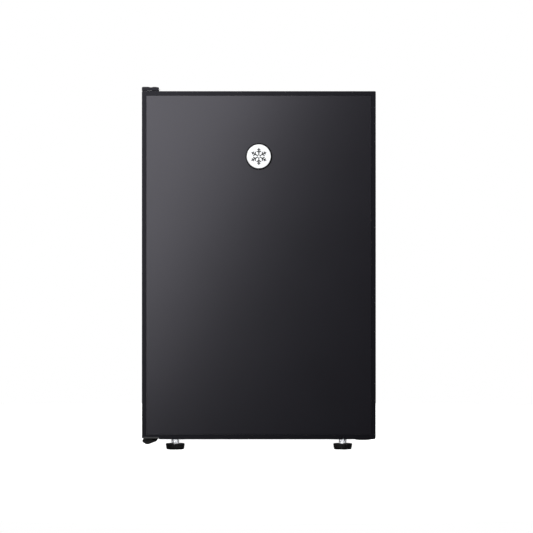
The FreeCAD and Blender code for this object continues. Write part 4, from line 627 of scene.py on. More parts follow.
def piece(name, mesh, body, slot, finish=None):
    """A finished piece that moves with a body."""
    made = holder(name, mesh)
    mesh.materials.clear()
    mesh.materials.append(finish_for(finish or slot))
    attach(made, body)
    return made


def stand_in(name, mesh, *nodes, finish=None):
    """A finished piece that takes the place of CAD nodes."""
    made = piece(name, mesh, body_of(nodes[0]), slot_of(nodes[0]), finish)
    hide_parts(*nodes)
    return made


# --------------------------------------------------------------------------------------------------
# Geometry nodes
# --------------------------------------------------------------------------------------------------


def new_tree(name, inputs):
    """A node tree with a geometry in and out and named inputs of given types."""
    tree = bpy.data.node_groups.new(name, "GeometryNodeTree")
    tree.interface.new_socket("Geometry", in_out="INPUT", socket_type="NodeSocketGeometry")
    tree.interface.new_socket("Geometry", in_out="OUTPUT", socket_type="NodeSocketGeometry")
    for title, kind in inputs:
        tree.interface.new_socket(title, in_out="INPUT", socket_type=kind)
    return tree


def rod_row_tree():
    """Upright rods side by side: a line of points, a rod on each, made real and given its finish."""
    inputs = [
        ("Count", "NodeSocketInt"),
        ("Start", "NodeSocketVector"),
        ("Step", "NodeSocketVector"),
        ("Radius", "NodeSocketFloat"),
        ("Length", "NodeSocketFloat"),
        ("Sides", "NodeSocketInt"),
        ("Finish", "NodeSocketMaterial"),
    ]
    tree = new_tree("row of rods", inputs)
    given = tree.nodes.new("NodeGroupInput").outputs
    line = tree.nodes.new("GeometryNodeMeshLine")
    line.mode = "OFFSET"
    rod = tree.nodes.new("GeometryNodeMeshCylinder")
    rods = tree.nodes.new("GeometryNodeInstanceOnPoints")
    real = tree.nodes.new("GeometryNodeRealizeInstances")
    coat = tree.nodes.new("GeometryNodeSetMaterial")
    out = tree.nodes.new("NodeGroupOutput").inputs
    wires = [
        (given["Count"], line.inputs["Count"]),
        (given["Start"], line.inputs["Start Location"]),
        (given["Step"], line.inputs["Offset"]),
        (given["Radius"], rod.inputs["Radius"]),
        (given["Length"], rod.inputs["Depth"]),
        (given["Sides"], rod.inputs["Vertices"]),
        (line.outputs["Mesh"], rods.inputs["Points"]),
        (rod.outputs["Mesh"], rods.inputs["Instance"]),
        (rods.outputs["Instances"], real.inputs["Geometry"]),
        (real.outputs["Geometry"], coat.inputs["Geometry"]),
        (given["Finish"], coat.inputs["Material"]),
        (coat.outputs["Geometry"], out["Geometry"]),
    ]
    for start, end in wires:
        tree.links.new(start, end)
    return tree


def fastener_tree():
    """Copies of a fastener at points, each turned to its facing and spun at random by a fixed seed."""
    inputs = [
        ("Template", "NodeSocketObject"),
        ("Size", "NodeSocketFloat"),
        ("Seed", "NodeSocketInt"),
        ("Finish", "NodeSocketMaterial"),
    ]
    tree = new_tree("fasteners", inputs)
    given = tree.nodes.new("NodeGroupInput").outputs
    template = tree.nodes.new("GeometryNodeObjectInfo")
    facing = tree.nodes.new("GeometryNodeInputNamedAttribute")
    facing.data_type = "FLOAT_VECTOR"
    facing.inputs["Name"].default_value = "facing"
    align = tree.nodes.new("FunctionNodeAlignRotationToVector")
    align.axis = "Z"
    copies = tree.nodes.new("GeometryNodeInstanceOnPoints")
    chance = tree.nodes.new("FunctionNodeRandomValue")
    chance.data_type = "FLOAT"
    spin = tree.nodes.new("ShaderNodeCombineXYZ")
    turn = tree.nodes.new("GeometryNodeRotateInstances")
    real = tree.nodes.new("GeometryNodeRealizeInstances")
    coat = tree.nodes.new("GeometryNodeSetMaterial")
    out = tree.nodes.new("NodeGroupOutput").inputs
    chance.inputs[3].default_value = TURN
    wires = [
        (given["Template"], template.inputs["Object"]),
        (given["Geometry"], copies.inputs["Points"]),
        (template.outputs["Geometry"], copies.inputs["Instance"]),
        (facing.outputs["Attribute"], align.inputs["Vector"]),
        (align.outputs["Rotation"], copies.inputs["Rotation"]),
        (given["Size"], copies.inputs["Scale"]),
        (given["Seed"], chance.inputs["Seed"]),
        (chance.outputs[1], spin.inputs["Z"]),
        (copies.outputs["Instances"], turn.inputs["Instances"]),
        (spin.outputs["Vector"], turn.inputs["Rotation"]),
        (turn.outputs["Instances"], real.inputs["Geometry"]),
        (real.outputs["Geometry"], coat.inputs["Geometry"]),
        (given["Finish"], coat.inputs["Material"]),
        (coat.outputs["Geometry"], out["Geometry"]),
    ]
    for start, end in wires:
        tree.links.new(start, end)
    return tree


def grown(name, mesh, tree, values):
    """The plain mesh that a tree makes from a mesh and named values."""
    thing = holder(name, mesh)
    nodes = thing.modifiers.new("rule", "NODES")
    nodes.node_group = tree
    for item in tree.interface.items_tree:
        if item.in_out == "INPUT" and item.name in values:
            nodes[item.identifier] = values[item.name]
    return smoothed(evaluated(thing, name), smooth_under=50)


def rod_row(name, start, step, number, radius, long, finish, sides=8):
    """A row of equal upright rods as one mesh."""
    values = {
        "Count": number,
        "Start": tuple(start),
        "Step": tuple(step),
        "Radius": radius,
        "Length": long,
        "Sides": sides,
        "Finish": finish_for(finish),
    }
    return grown(name, bpy.data.meshes.new(name + "_seed"), tree_from(rod_row_tree), values)


made_trees = {}


def tree_from(maker):
    """The tree of a maker, built the first time that it is asked for."""
    if maker not in made_trees:
        made_trees[maker] = maker()
    return made_trees[maker]


def rounded_middle(corners):
    """The mean place of some corners, to a tenth of a millimetre."""
    return tuple(round(sum(corner[i] for corner in corners) / len(corners), 4) for i in range(3))


def islands(node):
    """The separate solids of a CAD node, as lists of their corners."""
    work = bmesh.new()
    work.from_mesh(frame["nodes"][node].data)
    bmesh.ops.remove_doubles(work, verts=work.verts, dist=WELD)
    left = set(work.verts)
    found = []
    while left:
        reached = [left.pop()]
        for corner in reached:
            for edge in corner.link_edges:
                other = edge.other_vert(corner)
                if other in left:
                    left.discard(other)
                    reached.append(other)
        found.append([corner.co.copy() for corner in reached])
    work.free()
    return sorted(found, key=rounded_middle)


def fastener_axis(corners):
    """Where the top of a fastener's head is and which way it faces."""
    low, high = box_of(corners)
    size = high - low
    centre = (low + high) / 2
    usual = sorted(size)[1]
    long = max(range(3), key=lambda i: abs(size[i] - usual))
    others = [i for i in range(3) if i != long]

    def spread(end):
        """How wide the solid is at one end."""
        slack = 0.1 * MM
        near = [corner for corner in corners if abs(corner[long] - end) < slack]
        return max(math.hypot(*(corner[i] - centre[i] for i in others)) for corner in near)

    facing = Vector((0, 0, 0))
    head_end = high[long] if spread(high[long]) >= spread(low[long]) else low[long]
    facing[long] = 1 if head_end == high[long] else -1
    head = centre.copy()
    head[long] = head_end
    return head, facing


def fasteners(name, node, template, seed):
    """The fasteners of a CAD node, each a copy of a finer template."""
    spots = [fastener_axis(corners) for corners in islands(node)]
    mesh = bpy.data.meshes.new(name + "_spots")
    mesh.from_pydata([tuple(head) for head, _ in spots], [], [])
    facing = mesh.attributes.new("facing", "FLOAT_VECTOR", "POINT")
    facing.data.foreach_set("vector", [value for _, way in spots for value in way])
    thing = holder(name + "_template", template)
    values = {"Template": thing, "Size": 1.0, "Seed": seed, "Finish": finish_for(slot_of(node))}
    made = grown(name, mesh, tree_from(fastener_tree), values)
    bpy.data.objects.remove(thing)
    bpy.data.meshes.remove(template)
    if "facing" in made.attributes:
        made.attributes.remove(made.attributes["facing"])
    return stand_in(name, made, node)


# --------------------------------------------------------------------------------------------------
# Pieces
# --------------------------------------------------------------------------------------------------


class FRIDGE_OT_finishes(bpy.types.Operator):
    """Give every node of the frame the finish of its slot"""

    bl_idname = "fridge.finishes"
    bl_label = "Coat the frame"

    def execute(self, context):
        for node, thing in frame["nodes"].items():
            finish = finish_for(slot_of(node))
            for spot in thing.material_slots:
                spot.material = finish
            if not thing.material_slots:
                thing.data.materials.append(finish)
        return {"FINISHED"}


BAR_FACES = ((3, 2, 1, 0), (4, 5, 6, 7), (0, 1, 5, 4), (1, 2, 6, 5), (2, 3, 7, 6), (3, 0, 4, 7))


def ring_profile(inner, outer, back, front, soft):
    """The closed section of a flat ring with softly rounded front edges."""
    return [
        (inner, back),
        (outer, back),
        (outer, front - soft),
        (outer - 0.3 * soft, front - 0.3 * soft),
        (outer - soft, front),
        (inner + soft, front),
        (inner + 0.3 * soft, front - 0.3 * soft),
        (inner, front - soft),
    ]


def bar(start, end, wide, back, front):
    """The eight corners of a straight bar on the badge's face, narrower in front."""
    along = (end - start).normalized()
    aside = Vector((-along.y, along.x)) * wide / 2
    corners = []
    for level in (back, front):
        inset = 1.0 if level == back else 0.72
        for end_point, side in ((start, 1), (end, 1), (end, -1), (start, -1)):
            flat = end_point + aside * side * inset
            corners.append(Vector((flat.x, flat.y, level)))
    return corners


class FRIDGE_OT_badge(bpy.types.Operator):
    """Make the round badge: a spun disc, its ring and a plain six-armed flake"""

    bl_idname = "fridge.badge"
    bl_label = "Badge"

    def execute(self, context):
        settings = context.scene.fridge.badge
        low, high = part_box("badge_face")
        radius = (high.x - low.x) / 2
        at = Vector(((low.x + high.x) / 2, high.y, (low.z + high.z) / 2))
        front = high.y - low.y
        self.disc(laid(at, FORWARD), radius, front - settings.relief, settings.ripple)
        self.rim(at, radius)
        self.flake(laid(at, FORWARD), front, settings)
        return {"FINISHED"}

    def disc(self, lay, radius, face, ripple):
        """The spun disc, with turned lines on its face."""
        soft, play, rings = 0.5 * MM, 0.1 * MM, 24
        edge = radius - play
        profile = [(AXIS, 0), (edge, 0), (edge, face - soft), (radius - soft, face)]
        for step in range(rings):
            out = (radius - 2 * soft) * (1 - step / rings)
            drop = ripple if step % 2 else 0
            profile.append((out, face - drop))
        profile.append((AXIS, face))
        stand_in("badge_disc", turned("badge_disc", profile, sides=96, lay=lay), "badge_face")

    def rim(self, at, radius):
        """The ring round the disc, near-black as painted shade for the shadow line round the disc."""
        low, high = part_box("badge_ring")
        lay = laid(Vector((at.x, high.y, at.z)), FORWARD)
        section = ring_profile(radius, (high.x - low.x) / 2, 0, high.y - low.y, 0.5 * MM)
        # the ring takes the near-black finish: painted shade for the shadow line round the disc
        stand_in("badge_rim", turned("badge_rim", section, sides=96, lay=lay, ring=True), "badge_ring")

    def flake(self, lay, front, settings):
        """Six equal arms with two pairs of twigs each, raised from the disc."""
        hub, twigs = 0.12, ((0.48, 0.30), (0.74, 0.20))
        back = front - settings.relief - 0.1 * MM
        corners, faces = [], []
        for arm in range(6):
            way = TURN * (arm + 0.5) / 6
            out = Vector((math.cos(way), math.sin(way)))
            bars = [(out * settings.arm * hub, out * settings.arm)]
            for root, reach in twigs:
                for side in (-1, 1):
                    aside = way + side * TURN / 6
                    twig = Vector((math.cos(aside), math.sin(aside)))
                    start = out * settings.arm * root
                    bars.append((start, start + twig * settings.arm * reach))
            for start, end in bars:
                faces += [[index + len(corners) for index in face] for face in BAR_FACES]
                corners += [lay @ corner for corner in bar(start, end, settings.bar, back, front)]
        flake = bpy.data.meshes.new("badge_flake")
        flake.from_pydata(corners, [], faces)
        flake.update()
        piece("badge_flake", outward(flake), "door", "badge_dark")


class FRIDGE_OT_feet(bpy.types.Operator):
    """Make the fluted pads and the threaded studs of the levelling feet"""

    bl_idname = "fridge.feet"
    bl_label = "Levelling feet"

    def execute(self, context):
        for side in ("left", "right"):
            self.pad("front_foot_%s_pad" % side, context.scene.fridge.feet)
            self.stud("front_foot_%s_stud" % side, context.scene.fridge.feet)
        return {"FINISHED"}

    def pad(self, node, settings):
        """A turned pad with grip flutes round its flank."""
        low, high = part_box(node)
        wide = (high.x - low.x) / 2
        tall = high.z - low.z
        sole = wide - 1.4 * MM
        stem = 5.5 * MM
        dish = 0.6 * MM
        profile = [
            (AXIS, dish),
            (sole - 4.5 * MM, dish),
            (sole - 4.0 * MM, 0),
            (sole - 1.6 * MM, 0),
            (sole - 0.5 * MM, 0.35 * MM),
            (sole, 1.4 * MM),
            (sole + 0.5 * MM, 3.5 * MM),
            (wide - 0.45 * MM, tall - 4.6 * MM),
            (wide - 0.2 * MM, tall - 2.4 * MM),
            (wide, tall - 1.6 * MM),
            (wide - 0.15 * MM, tall - 0.6 * MM),
            (wide - 0.9 * MM, tall),
            (stem + 2.5 * MM, tall),
            (stem + 2.0 * MM, tall - dish),
            (AXIS, tall - dish),
        ]

        def fluted(angle, radius, height):
            """Flutes on the flank only, fading out at both ends."""
            if not 1.5 * MM < height < tall - 2 * MM or radius < sole:
                return radius
            return radius - settings.flute_deep * max(0.0, math.cos(settings.flutes * angle)) ** 0.5

        lay = laid(underside(low, high))
        mesh = turned(node + "_fluted", profile, sides=settings.flutes * 6, lay=lay, reach=fluted)
        stand_in(node + "_fluted", mesh, node, finish="foot_black")

    def stud(self, node, settings):
        """A threaded stud with a bevelled top."""
        low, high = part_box(node)
        radius = (high.x - low.x) / 2
        tall = high.z - low.z
        rows_per_turn, bevel = 6, 1.0 * MM
        step = settings.pitch / rows_per_turn
        rows = int(tall / step)
        profile = [(AXIS, 0), (radius, 0)]
        profile += [(radius, step * row) for row in range(1, rows)]
        profile += [(radius - bevel, tall), (AXIS, tall)]

        def threaded(angle, out, height):
            """A sawtooth that climbs one pitch each turn."""
            if out < radius:
                return out
            phase = (height / settings.pitch - angle / TURN) % 1.0
            return out - settings.thread_deep * abs(2 * phase - 1)

        lay = laid(underside(low, high))
        thread = turned(node + "_thread", profile, sides=28, lay=lay, reach=threaded)
        stand_in(node + "_thread", thread, node, finish="stud_zinc")


def cover_height(across, along, wide, long, tall):
    """How high the hinge cover stands at a place: round shoulders, two ridges and a dip between them."""
    shoulder, shoulder_drop = 3.2 * MM, 1.9 * MM
    dip_at, dip_reach, dip_steep, dip_deep = 0.53, 0.30, 2.6, 1.0 * MM
    slope_from, slope_drop = 0.72, 0.8 * MM
    from_edge = min(across, wide - across, along, long - along)
    fall = max(0.0, 1 - from_edge / shoulder)
    edge_drop = shoulder_drop * (1 - math.sqrt(max(0.0, 1 - fall * fall)))
    from_dip = abs(across - dip_at * wide) / (dip_reach * wide)
    dip = dip_deep * math.exp(-(from_dip * dip_steep) ** 2)
    slope = slope_drop * max(0.0, across / wide - slope_from) / (1 - slope_from)
    return tall - edge_drop - dip - slope


def eased_step(step, steps):
    """Steps from 0 to 1 that lie closer together towards both ends."""
    return 0.5 - 0.5 * math.cos(math.pi * step / steps)


class FRIDGE_OT_hinges(bpy.types.Operator):
    """Make the moulded top hinge cover and soften the lower hinge's pieces"""

    bl_idname = "fridge.hinges"
    bl_label = "Hinges"

    def execute(self, context):
        thing = holder("cover_skin", self.cover_skin(*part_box("top_hinge_cover")))
        wall = thing.modifiers.new("wall", "SOLIDIFY")
        wall.thickness = 1.2 * MM
        wall.offset = -1
        mesh = tidied(evaluated(thing, "hinge_cover"), smooth_under=50)
        stand_in("hinge_cover", mesh, "top_hinge_cover", finish="frame_plastic")
        eased = {"lower_hinge_cap": 0.5, "lower_hinge_plate": 0.35, "top_hinge_plate": 0.35}
        for node, radius in eased.items():
            stand_in(node + "_eased", softened(node, radius * MM), node)
        return {"FINISHED"}

    def cover_skin(self, low, high):
        """The cover's outside: a grid for its top and a wall down from the grid's edge."""
        wide, long, tall = high - low
        across_steps, along_steps = 30, 72
        corners, faces = [], []
        for j in range(along_steps + 1):
            for i in range(across_steps + 1):
                across = wide * eased_step(i, across_steps)
                along = long * eased_step(j, along_steps)
                top = low.z + cover_height(across, along, wide, long, tall)
                corners.append(Vector((low.x + across, low.y + along, top)))
        row = across_steps + 1
        for j in range(along_steps):
            for i in range(across_steps):
                start = j * row + i
                faces.append((start, start + 1, start + row + 1, start + row))
        edge = list(range(row))
        edge += [j * row + across_steps for j in range(1, along_steps + 1)]
        edge += [along_steps * row + i for i in range(across_steps - 1, -1, -1)]
        edge += [j * row for j in range(along_steps - 1, 0, -1)]
        base = len(corners)
        for index in edge:
            corners.append(Vector((corners[index].x, corners[index].y, low.z)))
        for step in range(len(edge)):
            after = (step + 1) % len(edge)
            faces.append((edge[after], edge[step], base + step, base + after))
        skin = bpy.data.meshes.new("cover_skin")
        skin.from_pydata(corners, [], faces)
        skin.shade_smooth()
        return skin


def screw_template(head, tall, shank, long):
    """A pan-head screw with a cross recess, its head's top at the origin, facing +Z."""
    profile = [(AXIS, -tall - long)]
    threads, point, root = 8, 1.5 * MM, shank * 0.78
    for step in range(threads):
        height = -tall - long + point + (long - point) * step / threads
        profile.append((root, height))
        profile.append((shank, height + 0.45 * (long - point) / threads))
    profile += [
        (root, -tall),
        (head * 0.97, -tall),
        (head, -tall * 0.72),
        (head * 0.93, -tall * 0.34),
        (head * 0.72, -tall * 0.10),
        (head * 0.55, -tall * 0.03),
        (head * 0.30, -tall * 0.9),
        (AXIS, -tall * 0.95),
    ]

    def crossed(angle, radius, height):
        """Pull the recess's rim in between the four arms of the cross."""
        if abs(radius - head * 0.55) > WELD:
            return radius
        return radius * (0.38 + 0.62 * abs(math.cos(2 * angle)) ** 3)

    return turned("screw", profile, sides=32, lay=Matrix.Identity(4), reach=crossed)


def bolt_template(across, tall, washer, shank, long):
    """A flanged hexagon bolt, its head's top at the origin, facing +Z."""
    profile = [
        (AXIS, -tall - long),
        (shank * 0.8, -tall - long),
        (shank, -tall - long + 1 * MM),
        (shank, -tall),
        (washer, -tall),
        (washer, -tall + 0.8 * MM),
        (across * 1.05, -tall + 1.2 * MM),
        (across, -tall + 1.3 * MM),
        (across, -0.5 * MM),
        (across * 0.9, 0),
        (AXIS, -0.15 * MM),
    ]

    def hexagonal(angle, radius, height):
        """Six flats on the head."""
        if abs(radius - across) > WELD:
            return radius
        part = (angle + TURN / 12) % (TURN / 6) - TURN / 12
        return radius * math.cos(TURN / 12) / math.cos(part) * 1.08

    return turned("bolt", profile, sides=48, lay=Matrix.Identity(4), reach=hexagonal)


def plug_template(radius, tall, stem, long):
    """A domed plug with a split stem, the top of its dome at the origin."""
    profile = [
        (AXIS, -tall - long),
        (stem * 0.8, -tall - long),
        (stem, -tall - long * 0.6),
        (stem * 0.85, -tall),
        (radius, -tall),
        (radius, -tall * 0.75),
        (radius * 0.92, -tall * 0.40),
        (radius * 0.70, -tall * 0.14),
        (radius * 0.35, -tall * 0.02),
        (AXIS, 0),
    ]
    return turned("plug", profile, sides=32, lay=Matrix.Identity(4))


class FRIDGE_OT_fasteners(bpy.types.Operator):
    """Make the screws, the plugs of the spare screw holes and the compressor's bolts"""

    bl_idname = "fridge.fasteners"
    bl_label = "Fasteners"

    def execute(self, context):
        screw = screw_template(head=3.8 * MM, tall=1.9 * MM, shank=2.1 * MM, long=12 * MM)
        fasteners("cross_screws", "cabinet_screws", screw, seed=4)
        low, high = box_of(islands("hinge_hole_plugs")[0])
        cap = 1.2 * MM
        radius = min(high.x - low.x, high.y - low.y) / 2
        plug = plug_template(radius, cap, stem=2.0 * MM, long=high.z - low.z - cap)
        fasteners("domed_plugs", "hinge_hole_plugs", plug, seed=2)
        low, high = box_of(islands("compressor_bolts")[0])
        head = 5 * MM
        washer = (high.x - low.x) / 2
        bolt = bolt_template(4.6 * MM, head, washer, shank=3 * MM, long=high.z - low.z - head)
        fasteners("flange_bolts", "compressor_bolts", bolt, seed=7)
        return {"FINISHED"}


def corners_cut(points):
    """A closed line with each of its corners cut back."""
    cut_back = 0.22
    cut = []
    for here, there in zip(points, points[1:] + points[:1]):
        cut.append(here.lerp(there, cut_back))
        cut.append(here.lerp(there, 1 - cut_back))
    return cut


class FRIDGE_OT_gasket(bpy.types.Operator):
    """Make the door's magnetic gasket with its bellows folds and mitred corners"""

    bl_idname = "fridge.gasket"
    bl_label = "Door gasket"

    def execute(self, context):
        low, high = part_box("door_gasket")
        magnet_low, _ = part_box("gasket_magnets")
        deep = high.y - low.y
        magnet_wide = 10 * MM
        wide = 2 * (magnet_low.x - low.x) + magnet_wide
        fold, crest, lip = 1.5 * MM, 0.2 * MM, 0.8 * MM
        side = [(0, fold), (0.14, fold), (0.26, fold), (0.38, crest), (0.50, fold)]
        side += [(0.60, 0), (0.92, 0), (1.0, lip)]
        outer = [Vector((inset, part * deep)) for part, inset in side]
        inner = [Vector((wide - inset, part * deep)) for part, inset in reversed(side)]
        section = corners_cut(outer + inner)
        corners, faces = [], []
        for inset, rise in section:
            for x, z in ((-1, -1), (1, -1), (1, 1), (-1, 1)):
                flat_x = (high.x - inset) * x
                flat_z = low.z + inset if z < 0 else high.z - inset
                corners.append(Vector((flat_x, low.y + rise, flat_z)))
        rows = len(section)
        for row in range(rows):
            after = (row + 1) % rows
            for corner in range(4):
                beside = (corner + 1) % 4
                faces.append((row * 4 + corner, row * 4 + beside, after * 4 + beside, after * 4 + corner))
        bellows = solid("gasket_bellows", corners, faces, smooth_under=25)
        stand_in("gasket_bellows", bellows, "door_gasket")
        return {"FINISHED"}


class FRIDGE_OT_door_inside(bpy.types.Operator):
    """Ease the edges of the door's liner and of its clear racks"""

    bl_idname = "fridge.door_inside"
    bl_label = "Door liner and racks"

    def execute(self, context):
        stand_in("door_liner_drawn", softened("door_liner", 1.2 * MM), "door_liner")
        for node in ("door_rack_upper", "door_rack_lower"):
            stand_in(node + "_moulded", softened(node, 0.7 * MM), node)
        return {"FINISHED"}


class FRIDGE_OT_inside(bpy.types.Operator):
    """Ease the cabinet liner, the ice box front, its flap and the drip tray"""

    bl_idname = "fridge.inside"
    bl_label = "Liner and ice box"

    def execute(self, context):
        eased = {"inner_liner": 1.0, "ice_box_frame": 0.9, "drip_tray": 0.5, "ice_box_flap": 0.9}
        for node, radius in eased.items():
            stand_in(node + "_moulded", softened(node, radius * MM), node)
        self.flap_ribs()
        return {"FINISHED"}

    def flap_ribs(self):
        """Upright ribs on the face of the ice box flap, between its lip and its pins."""
        low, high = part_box("ice_box_flap")
        number, radius = 25, 1.1 * MM
        lip, knuckle, proud = 7 * MM, 12 * MM, 0.2 * MM
        beside, above_lip, under_knuckle = 35 * MM, 5 * MM, 9 * MM
        step = Vector(((high.x - low.x - 2 * beside) / (number - 1), 0, 0))
        long = high.z - low.z - lip - knuckle - above_lip - under_knuckle
        start = Vector((low.x + beside, low.y + lip - proud, low.z + lip + above_lip + long / 2))
        slot = slot_of("ice_box_flap")
        ribs = rod_row("flap_ribs", start, step, number, radius, long, slot)
        piece("flap_ribs", ribs, body_of("ice_box_flap"), slot)


class FRIDGE_OT_thermostat(bpy.types.Operator):
    """Make the thermostat's fluted knob, its pointer and the numbered dial"""

    bl_idname = "fridge.thermostat"
    bl_label = "Thermostat"

    def execute(self, context):
        case = softened("thermostat_housing", 1.6 * MM, steps=4)
        stand_in("thermostat_case", case, "thermostat_housing")
        low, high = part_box("thermostat_knob")
        case_low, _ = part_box("thermostat_housing")
        play = 0.3 * MM
        full = (high.x - low.x) / 2
        at = Vector(((low.x + high.x) / 2, case_low.y - play, (low.z + high.z) / 2))
        front = at.y - low.y
        grip = full - 1.6 * MM
        back = at.y - high.y
        profile = [
            (AXIS, back),
            (3 * MM, back),
            (3 * MM, 0),
            (full - 0.3 * MM, 0),
            (full, 0.4 * MM),
            (full, 1.6 * MM),
            (full - 0.6 * MM, 2.2 * MM),
            (grip, 2.8 * MM),
            (grip, front - 1.6 * MM),
            (grip - 0.6 * MM, front - 0.5 * MM),
            (grip - 1.8 * MM, front),
            (grip - 3.0 * MM, front),
            (grip - 4.0 * MM, front - 0.5 * MM),
            (AXIS, front - 0.3 * MM),
        ]
        flutes, flute_deep = 22, 0.7 * MM

        def fluted(angle, radius, height):
            """Flutes round the grip only."""
            if abs(radius - grip) > 0.3 * MM:
                return radius
            return radius - flute_deep * max(0.0, math.cos(flutes * angle))

        lay = laid(at, FORWARD)
        knob = turned("knob_fluted", profile, sides=flutes * 6, lay=lay, reach=fluted)
        stand_in("knob_fluted", knob, "thermostat_knob")
        self.pointer(at, front, grip)
        self.dial(Vector((at.x, case_low.y, at.z)), full)
        return {"FINISHED"}

    def dial_way(self, setting):
        """The direction of a setting on the dial, seen from the front."""
        first, apart = -140, 40
        swing = math.radians(first + apart * setting)
        return Vector((math.sin(swing), 0, math.cos(swing)))

    def pointer(self, at, front, grip):
        """A raised line on the knob's face that points at the first setting."""
        way = self.dial_way(0)
        half_wide, sunk = 0.55 * MM, 0.6 * MM
        near, far = 3.5 * MM, grip - 1.2 * MM
        aside = way.cross(FORWARD) * half_wide
        corners = []
        for level in (front - sunk, front):
            for out, side in ((near, 1), (far, 1), (far, -1), (near, -1)):
                corners.append(at + FORWARD * level + way * out + aside * side)
        line = solid("knob_pointer", corners, BAR_FACES)
        piece("knob_pointer", line, "knob", "fitting_white", "dial_ink")

    def dial(self, at, knob_radius):
        """The numbers 0 to 7 round the knob."""
        meshes = []
        stand = Matrix.Rotation(math.radians(90), 4, "X")
        gap, proud = 2.0 * MM, 0.1 * MM
        for setting in range(8):
            text = bpy.data.curves.new("number", "FONT")
            text.body = str(setting)
            text.size = 3.4 * MM
            text.extrude = 0.12 * MM
            text.align_x = "CENTER"
            text.align_y = "CENTER"
            mesh = evaluated(holder("number", text), "number")
            spot = at + self.dial_way(setting) * (knob_radius + gap) + FORWARD * proud
            mesh.transform(Matrix.Translation(spot) @ stand)
            meshes.append(mesh)
        numbers = joined("dial_numbers", meshes)
        for mesh in meshes:
            bpy.data.meshes.remove(mesh)
        piece("dial_numbers", tidied(numbers), "cabinet", "fitting_white", "dial_ink")


class FRIDGE_OT_cooling(bpy.types.Operator):
    """Make the condenser's wires, in front of and behind its tube"""

    bl_idname = "fridge.cooling"
    bl_label = "Condenser"

    def execute(self, context):
        settings = context.scene.fridge.cooling
        low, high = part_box("condenser_wires")
        radius = settings.wire_radius
        number = int((high.x - low.x - 2 * radius) / settings.wire_pitch) + 1
        first = -(number - 1) * settings.wire_pitch / 2
        middle = (low + high) / 2
        tall = high.z - low.z
        row_gap = 6.4 * MM
        slot = slot_of("condenser_wires")
        sides = settings.wire_sides
        step = Vector((settings.wire_pitch, 0, 0))
        rows = []
        for index, forward in enumerate((0, row_gap)):
            start = Vector((first, middle.y - forward, middle.z))
            wires = rod_row("wires_%d" % index, start, step, number, radius, tall, slot, sides)
            rows.append(wires)
        stand_in("condenser_grid", joined("condenser_grid", rows), "condenser_wires")
        return {"FINISHED"}


# --------------------------------------------------------------------------------------------------
# Stage
# --------------------------------------------------------------------------------------------------


def softbox(name, at, aim, wide, tall, power):
    """A rectangular light that faces a place and that the camera doesn't see."""
    data = bpy.data.lights.new(name, "AREA")
    data.shape = "RECTANGLE"
    data.size = wide
    data.size_y = tall
    data.energy = power
    thing = holder(name, data)
    thing.location = at
    thing.rotation_euler = (Vector(aim) - Vector(at)).to_track_quat("-Z", "Y").to_euler()
    thing.visible_camera = False


# Each softbox: its name, place, aim, width, height and power.
SOFTBOXES = (
    ("floor bounce", (0, -0.19, 0.028), (0, 0.3, 0.034), 0.38, 0.02, 0.35),
    ("top softbox", (0.1, 0.55, 2.2), (0, 0.1, 0.3), 1.6, 1.2, 26),
    ("left rim softbox", (-1.9, 1.0, 0.9), (0, 0.1, 0.35), 0.9, 1.5, 20),
    ("right rim softbox", (1.9, 0.9, 0.9), (0, 0.1, 0.35), 0.9, 1.5, 24),
    ("rear softbox", (0.5, 2.4, 1.2), (0, 0.2, 0.3), 1.4, 1.2, 26),
)


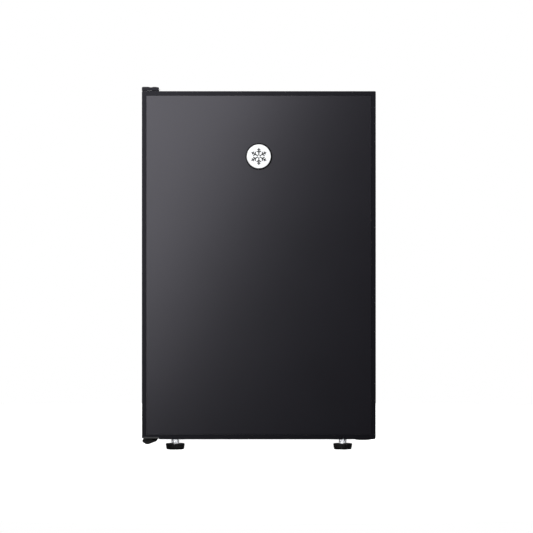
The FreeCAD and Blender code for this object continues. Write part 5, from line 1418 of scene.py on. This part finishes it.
class FRIDGE_OT_stage(bpy.types.Operator):
    """Set up the pale floor, the soft lights and the camera"""

    bl_idname = "fridge.stage"
    bl_label = "Studio"

    def execute(self, context):
        settings = context.scene.fridge.studio
        self.floor()
        self.surroundings(settings.ambient)
        key_at, key_aim = (-0.523, -0.957, 0.764), (0.003, -0.24, 0.001)
        key_wide, key_tall = 1.392, 1.963
        softbox("key softbox", key_at, key_aim, key_wide, key_tall, settings.key_power)
        for box in SOFTBOXES:
            softbox(*box)
        self.camera(settings)
        context.scene.view_settings.view_transform = "Standard"
        return {"FINISHED"}

    def floor(self):
        """A round white floor that fades into the white background."""
        sides, radius = 96, 1.6
        angles = [TURN * step / sides for step in range(sides)]
        corners = [(radius * math.cos(angle), radius * math.sin(angle), 0) for angle in angles]
        mesh = bpy.data.meshes.new("floor")
        mesh.from_pydata(corners, [], [tuple(range(sides))])
        finish = Finish("white floor", (0.8, 0.8, 0.8), 0.7)
        finish.shader.inputs["Emission Color"].default_value = (1, 1, 1, 1)
        finish.shader.inputs["Emission Strength"].default_value = 1.0
        mesh.materials.append(finish.made)
        thing = holder("floor", mesh)
        thing.visible_diffuse = False
        thing.visible_glossy = False

    def surroundings(self, ambient):
        """White behind the object, and a dim even light on it from all round."""
        world = bpy.context.scene.world or bpy.data.worlds.new("studio")
        bpy.context.scene.world = world
        world.use_nodes = True
        nodes, links = world.node_tree.nodes, world.node_tree.links
        seen = nodes["Background"]
        seen.inputs["Color"].default_value = (1, 1, 1, 1)
        seen.inputs["Strength"].default_value = 1.0
        around = nodes.new("ShaderNodeBackground")
        around.inputs["Color"].default_value = (1, 1, 1, 1)
        around.inputs["Strength"].default_value = ambient
        mix = nodes.new("ShaderNodeMixShader")
        path = nodes.new("ShaderNodeLightPath")
        links.new(path.outputs["Is Camera Ray"], mix.inputs["Fac"])
        links.new(around.outputs["Background"], mix.inputs[1])
        links.new(seen.outputs["Background"], mix.inputs[2])
        links.new(mix.outputs["Shader"], nodes["World Output"].inputs["Surface"])

    def camera(self, settings):
        """A long lens, level, square to the door."""
        data = bpy.data.cameras.new("camera")
        data.sensor_width = 36
        data.lens = data.sensor_width * settings.camera_far / settings.view_wide
        data.dof.use_dof = False
        thing = holder("camera", data)
        door_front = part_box("door_top_cap")[0].y
        thing.location = (settings.camera_side, door_front - settings.camera_far, settings.camera_high)
        thing.rotation_euler = (math.radians(90), 0, 0)
        bpy.context.scene.camera = thing


OPERATORS = (
    FRIDGE_OT_finishes,
    FRIDGE_OT_badge,
    FRIDGE_OT_feet,
    FRIDGE_OT_hinges,
    FRIDGE_OT_fasteners,
    FRIDGE_OT_gasket,
    FRIDGE_OT_door_inside,
    FRIDGE_OT_inside,
    FRIDGE_OT_thermostat,
    FRIDGE_OT_cooling,
    FRIDGE_OT_stage,
)
GROUPS = (FridgeFinishes, FridgeBadge, FridgeFeet, FridgeCooling, FridgeStudio, FridgeSettings)


class FRIDGE_PT_panel(bpy.types.Panel):
    """The refrigerator's settings and steps in the sidebar"""

    bl_idname = "FRIDGE_PT_panel"
    bl_label = "Compact refrigerator"
    bl_space_type = "VIEW_3D"
    bl_region_type = "UI"
    bl_category = "Fridge"

    def draw(self, context):
        settings = context.scene.fridge
        for part in settings.bl_rna.properties:
            group = getattr(settings, part.identifier)
            if not isinstance(group, bpy.types.PropertyGroup):
                continue
            box = self.layout.box()
            box.label(text=part.name)
            for item in group.bl_rna.properties:
                if item.identifier not in ("rna_type", "name"):
                    box.prop(group, item.identifier)
        for operator in OPERATORS:
            self.layout.operator(operator.bl_idname)


def register():
    """Make the settings, the operators and the panel known to the scene."""
    for kind in (*GROUPS, *OPERATORS, FRIDGE_PT_panel):
        bpy.utils.register_class(kind)
    bpy.types.Scene.fridge = PointerProperty(type=FridgeSettings)


def unregister():
    """Take them away again."""
    del bpy.types.Scene.fridge
    for kind in reversed((*GROUPS, *OPERATORS, FRIDGE_PT_panel)):
        bpy.utils.unregister_class(kind)


def main():
    """Make the whole refrigerator."""
    register()
    for operator in OPERATORS:
        group, name = operator.bl_idname.split(".")
        getattr(getattr(bpy.ops, group), name)()


if __name__ == "__main__":
    main()
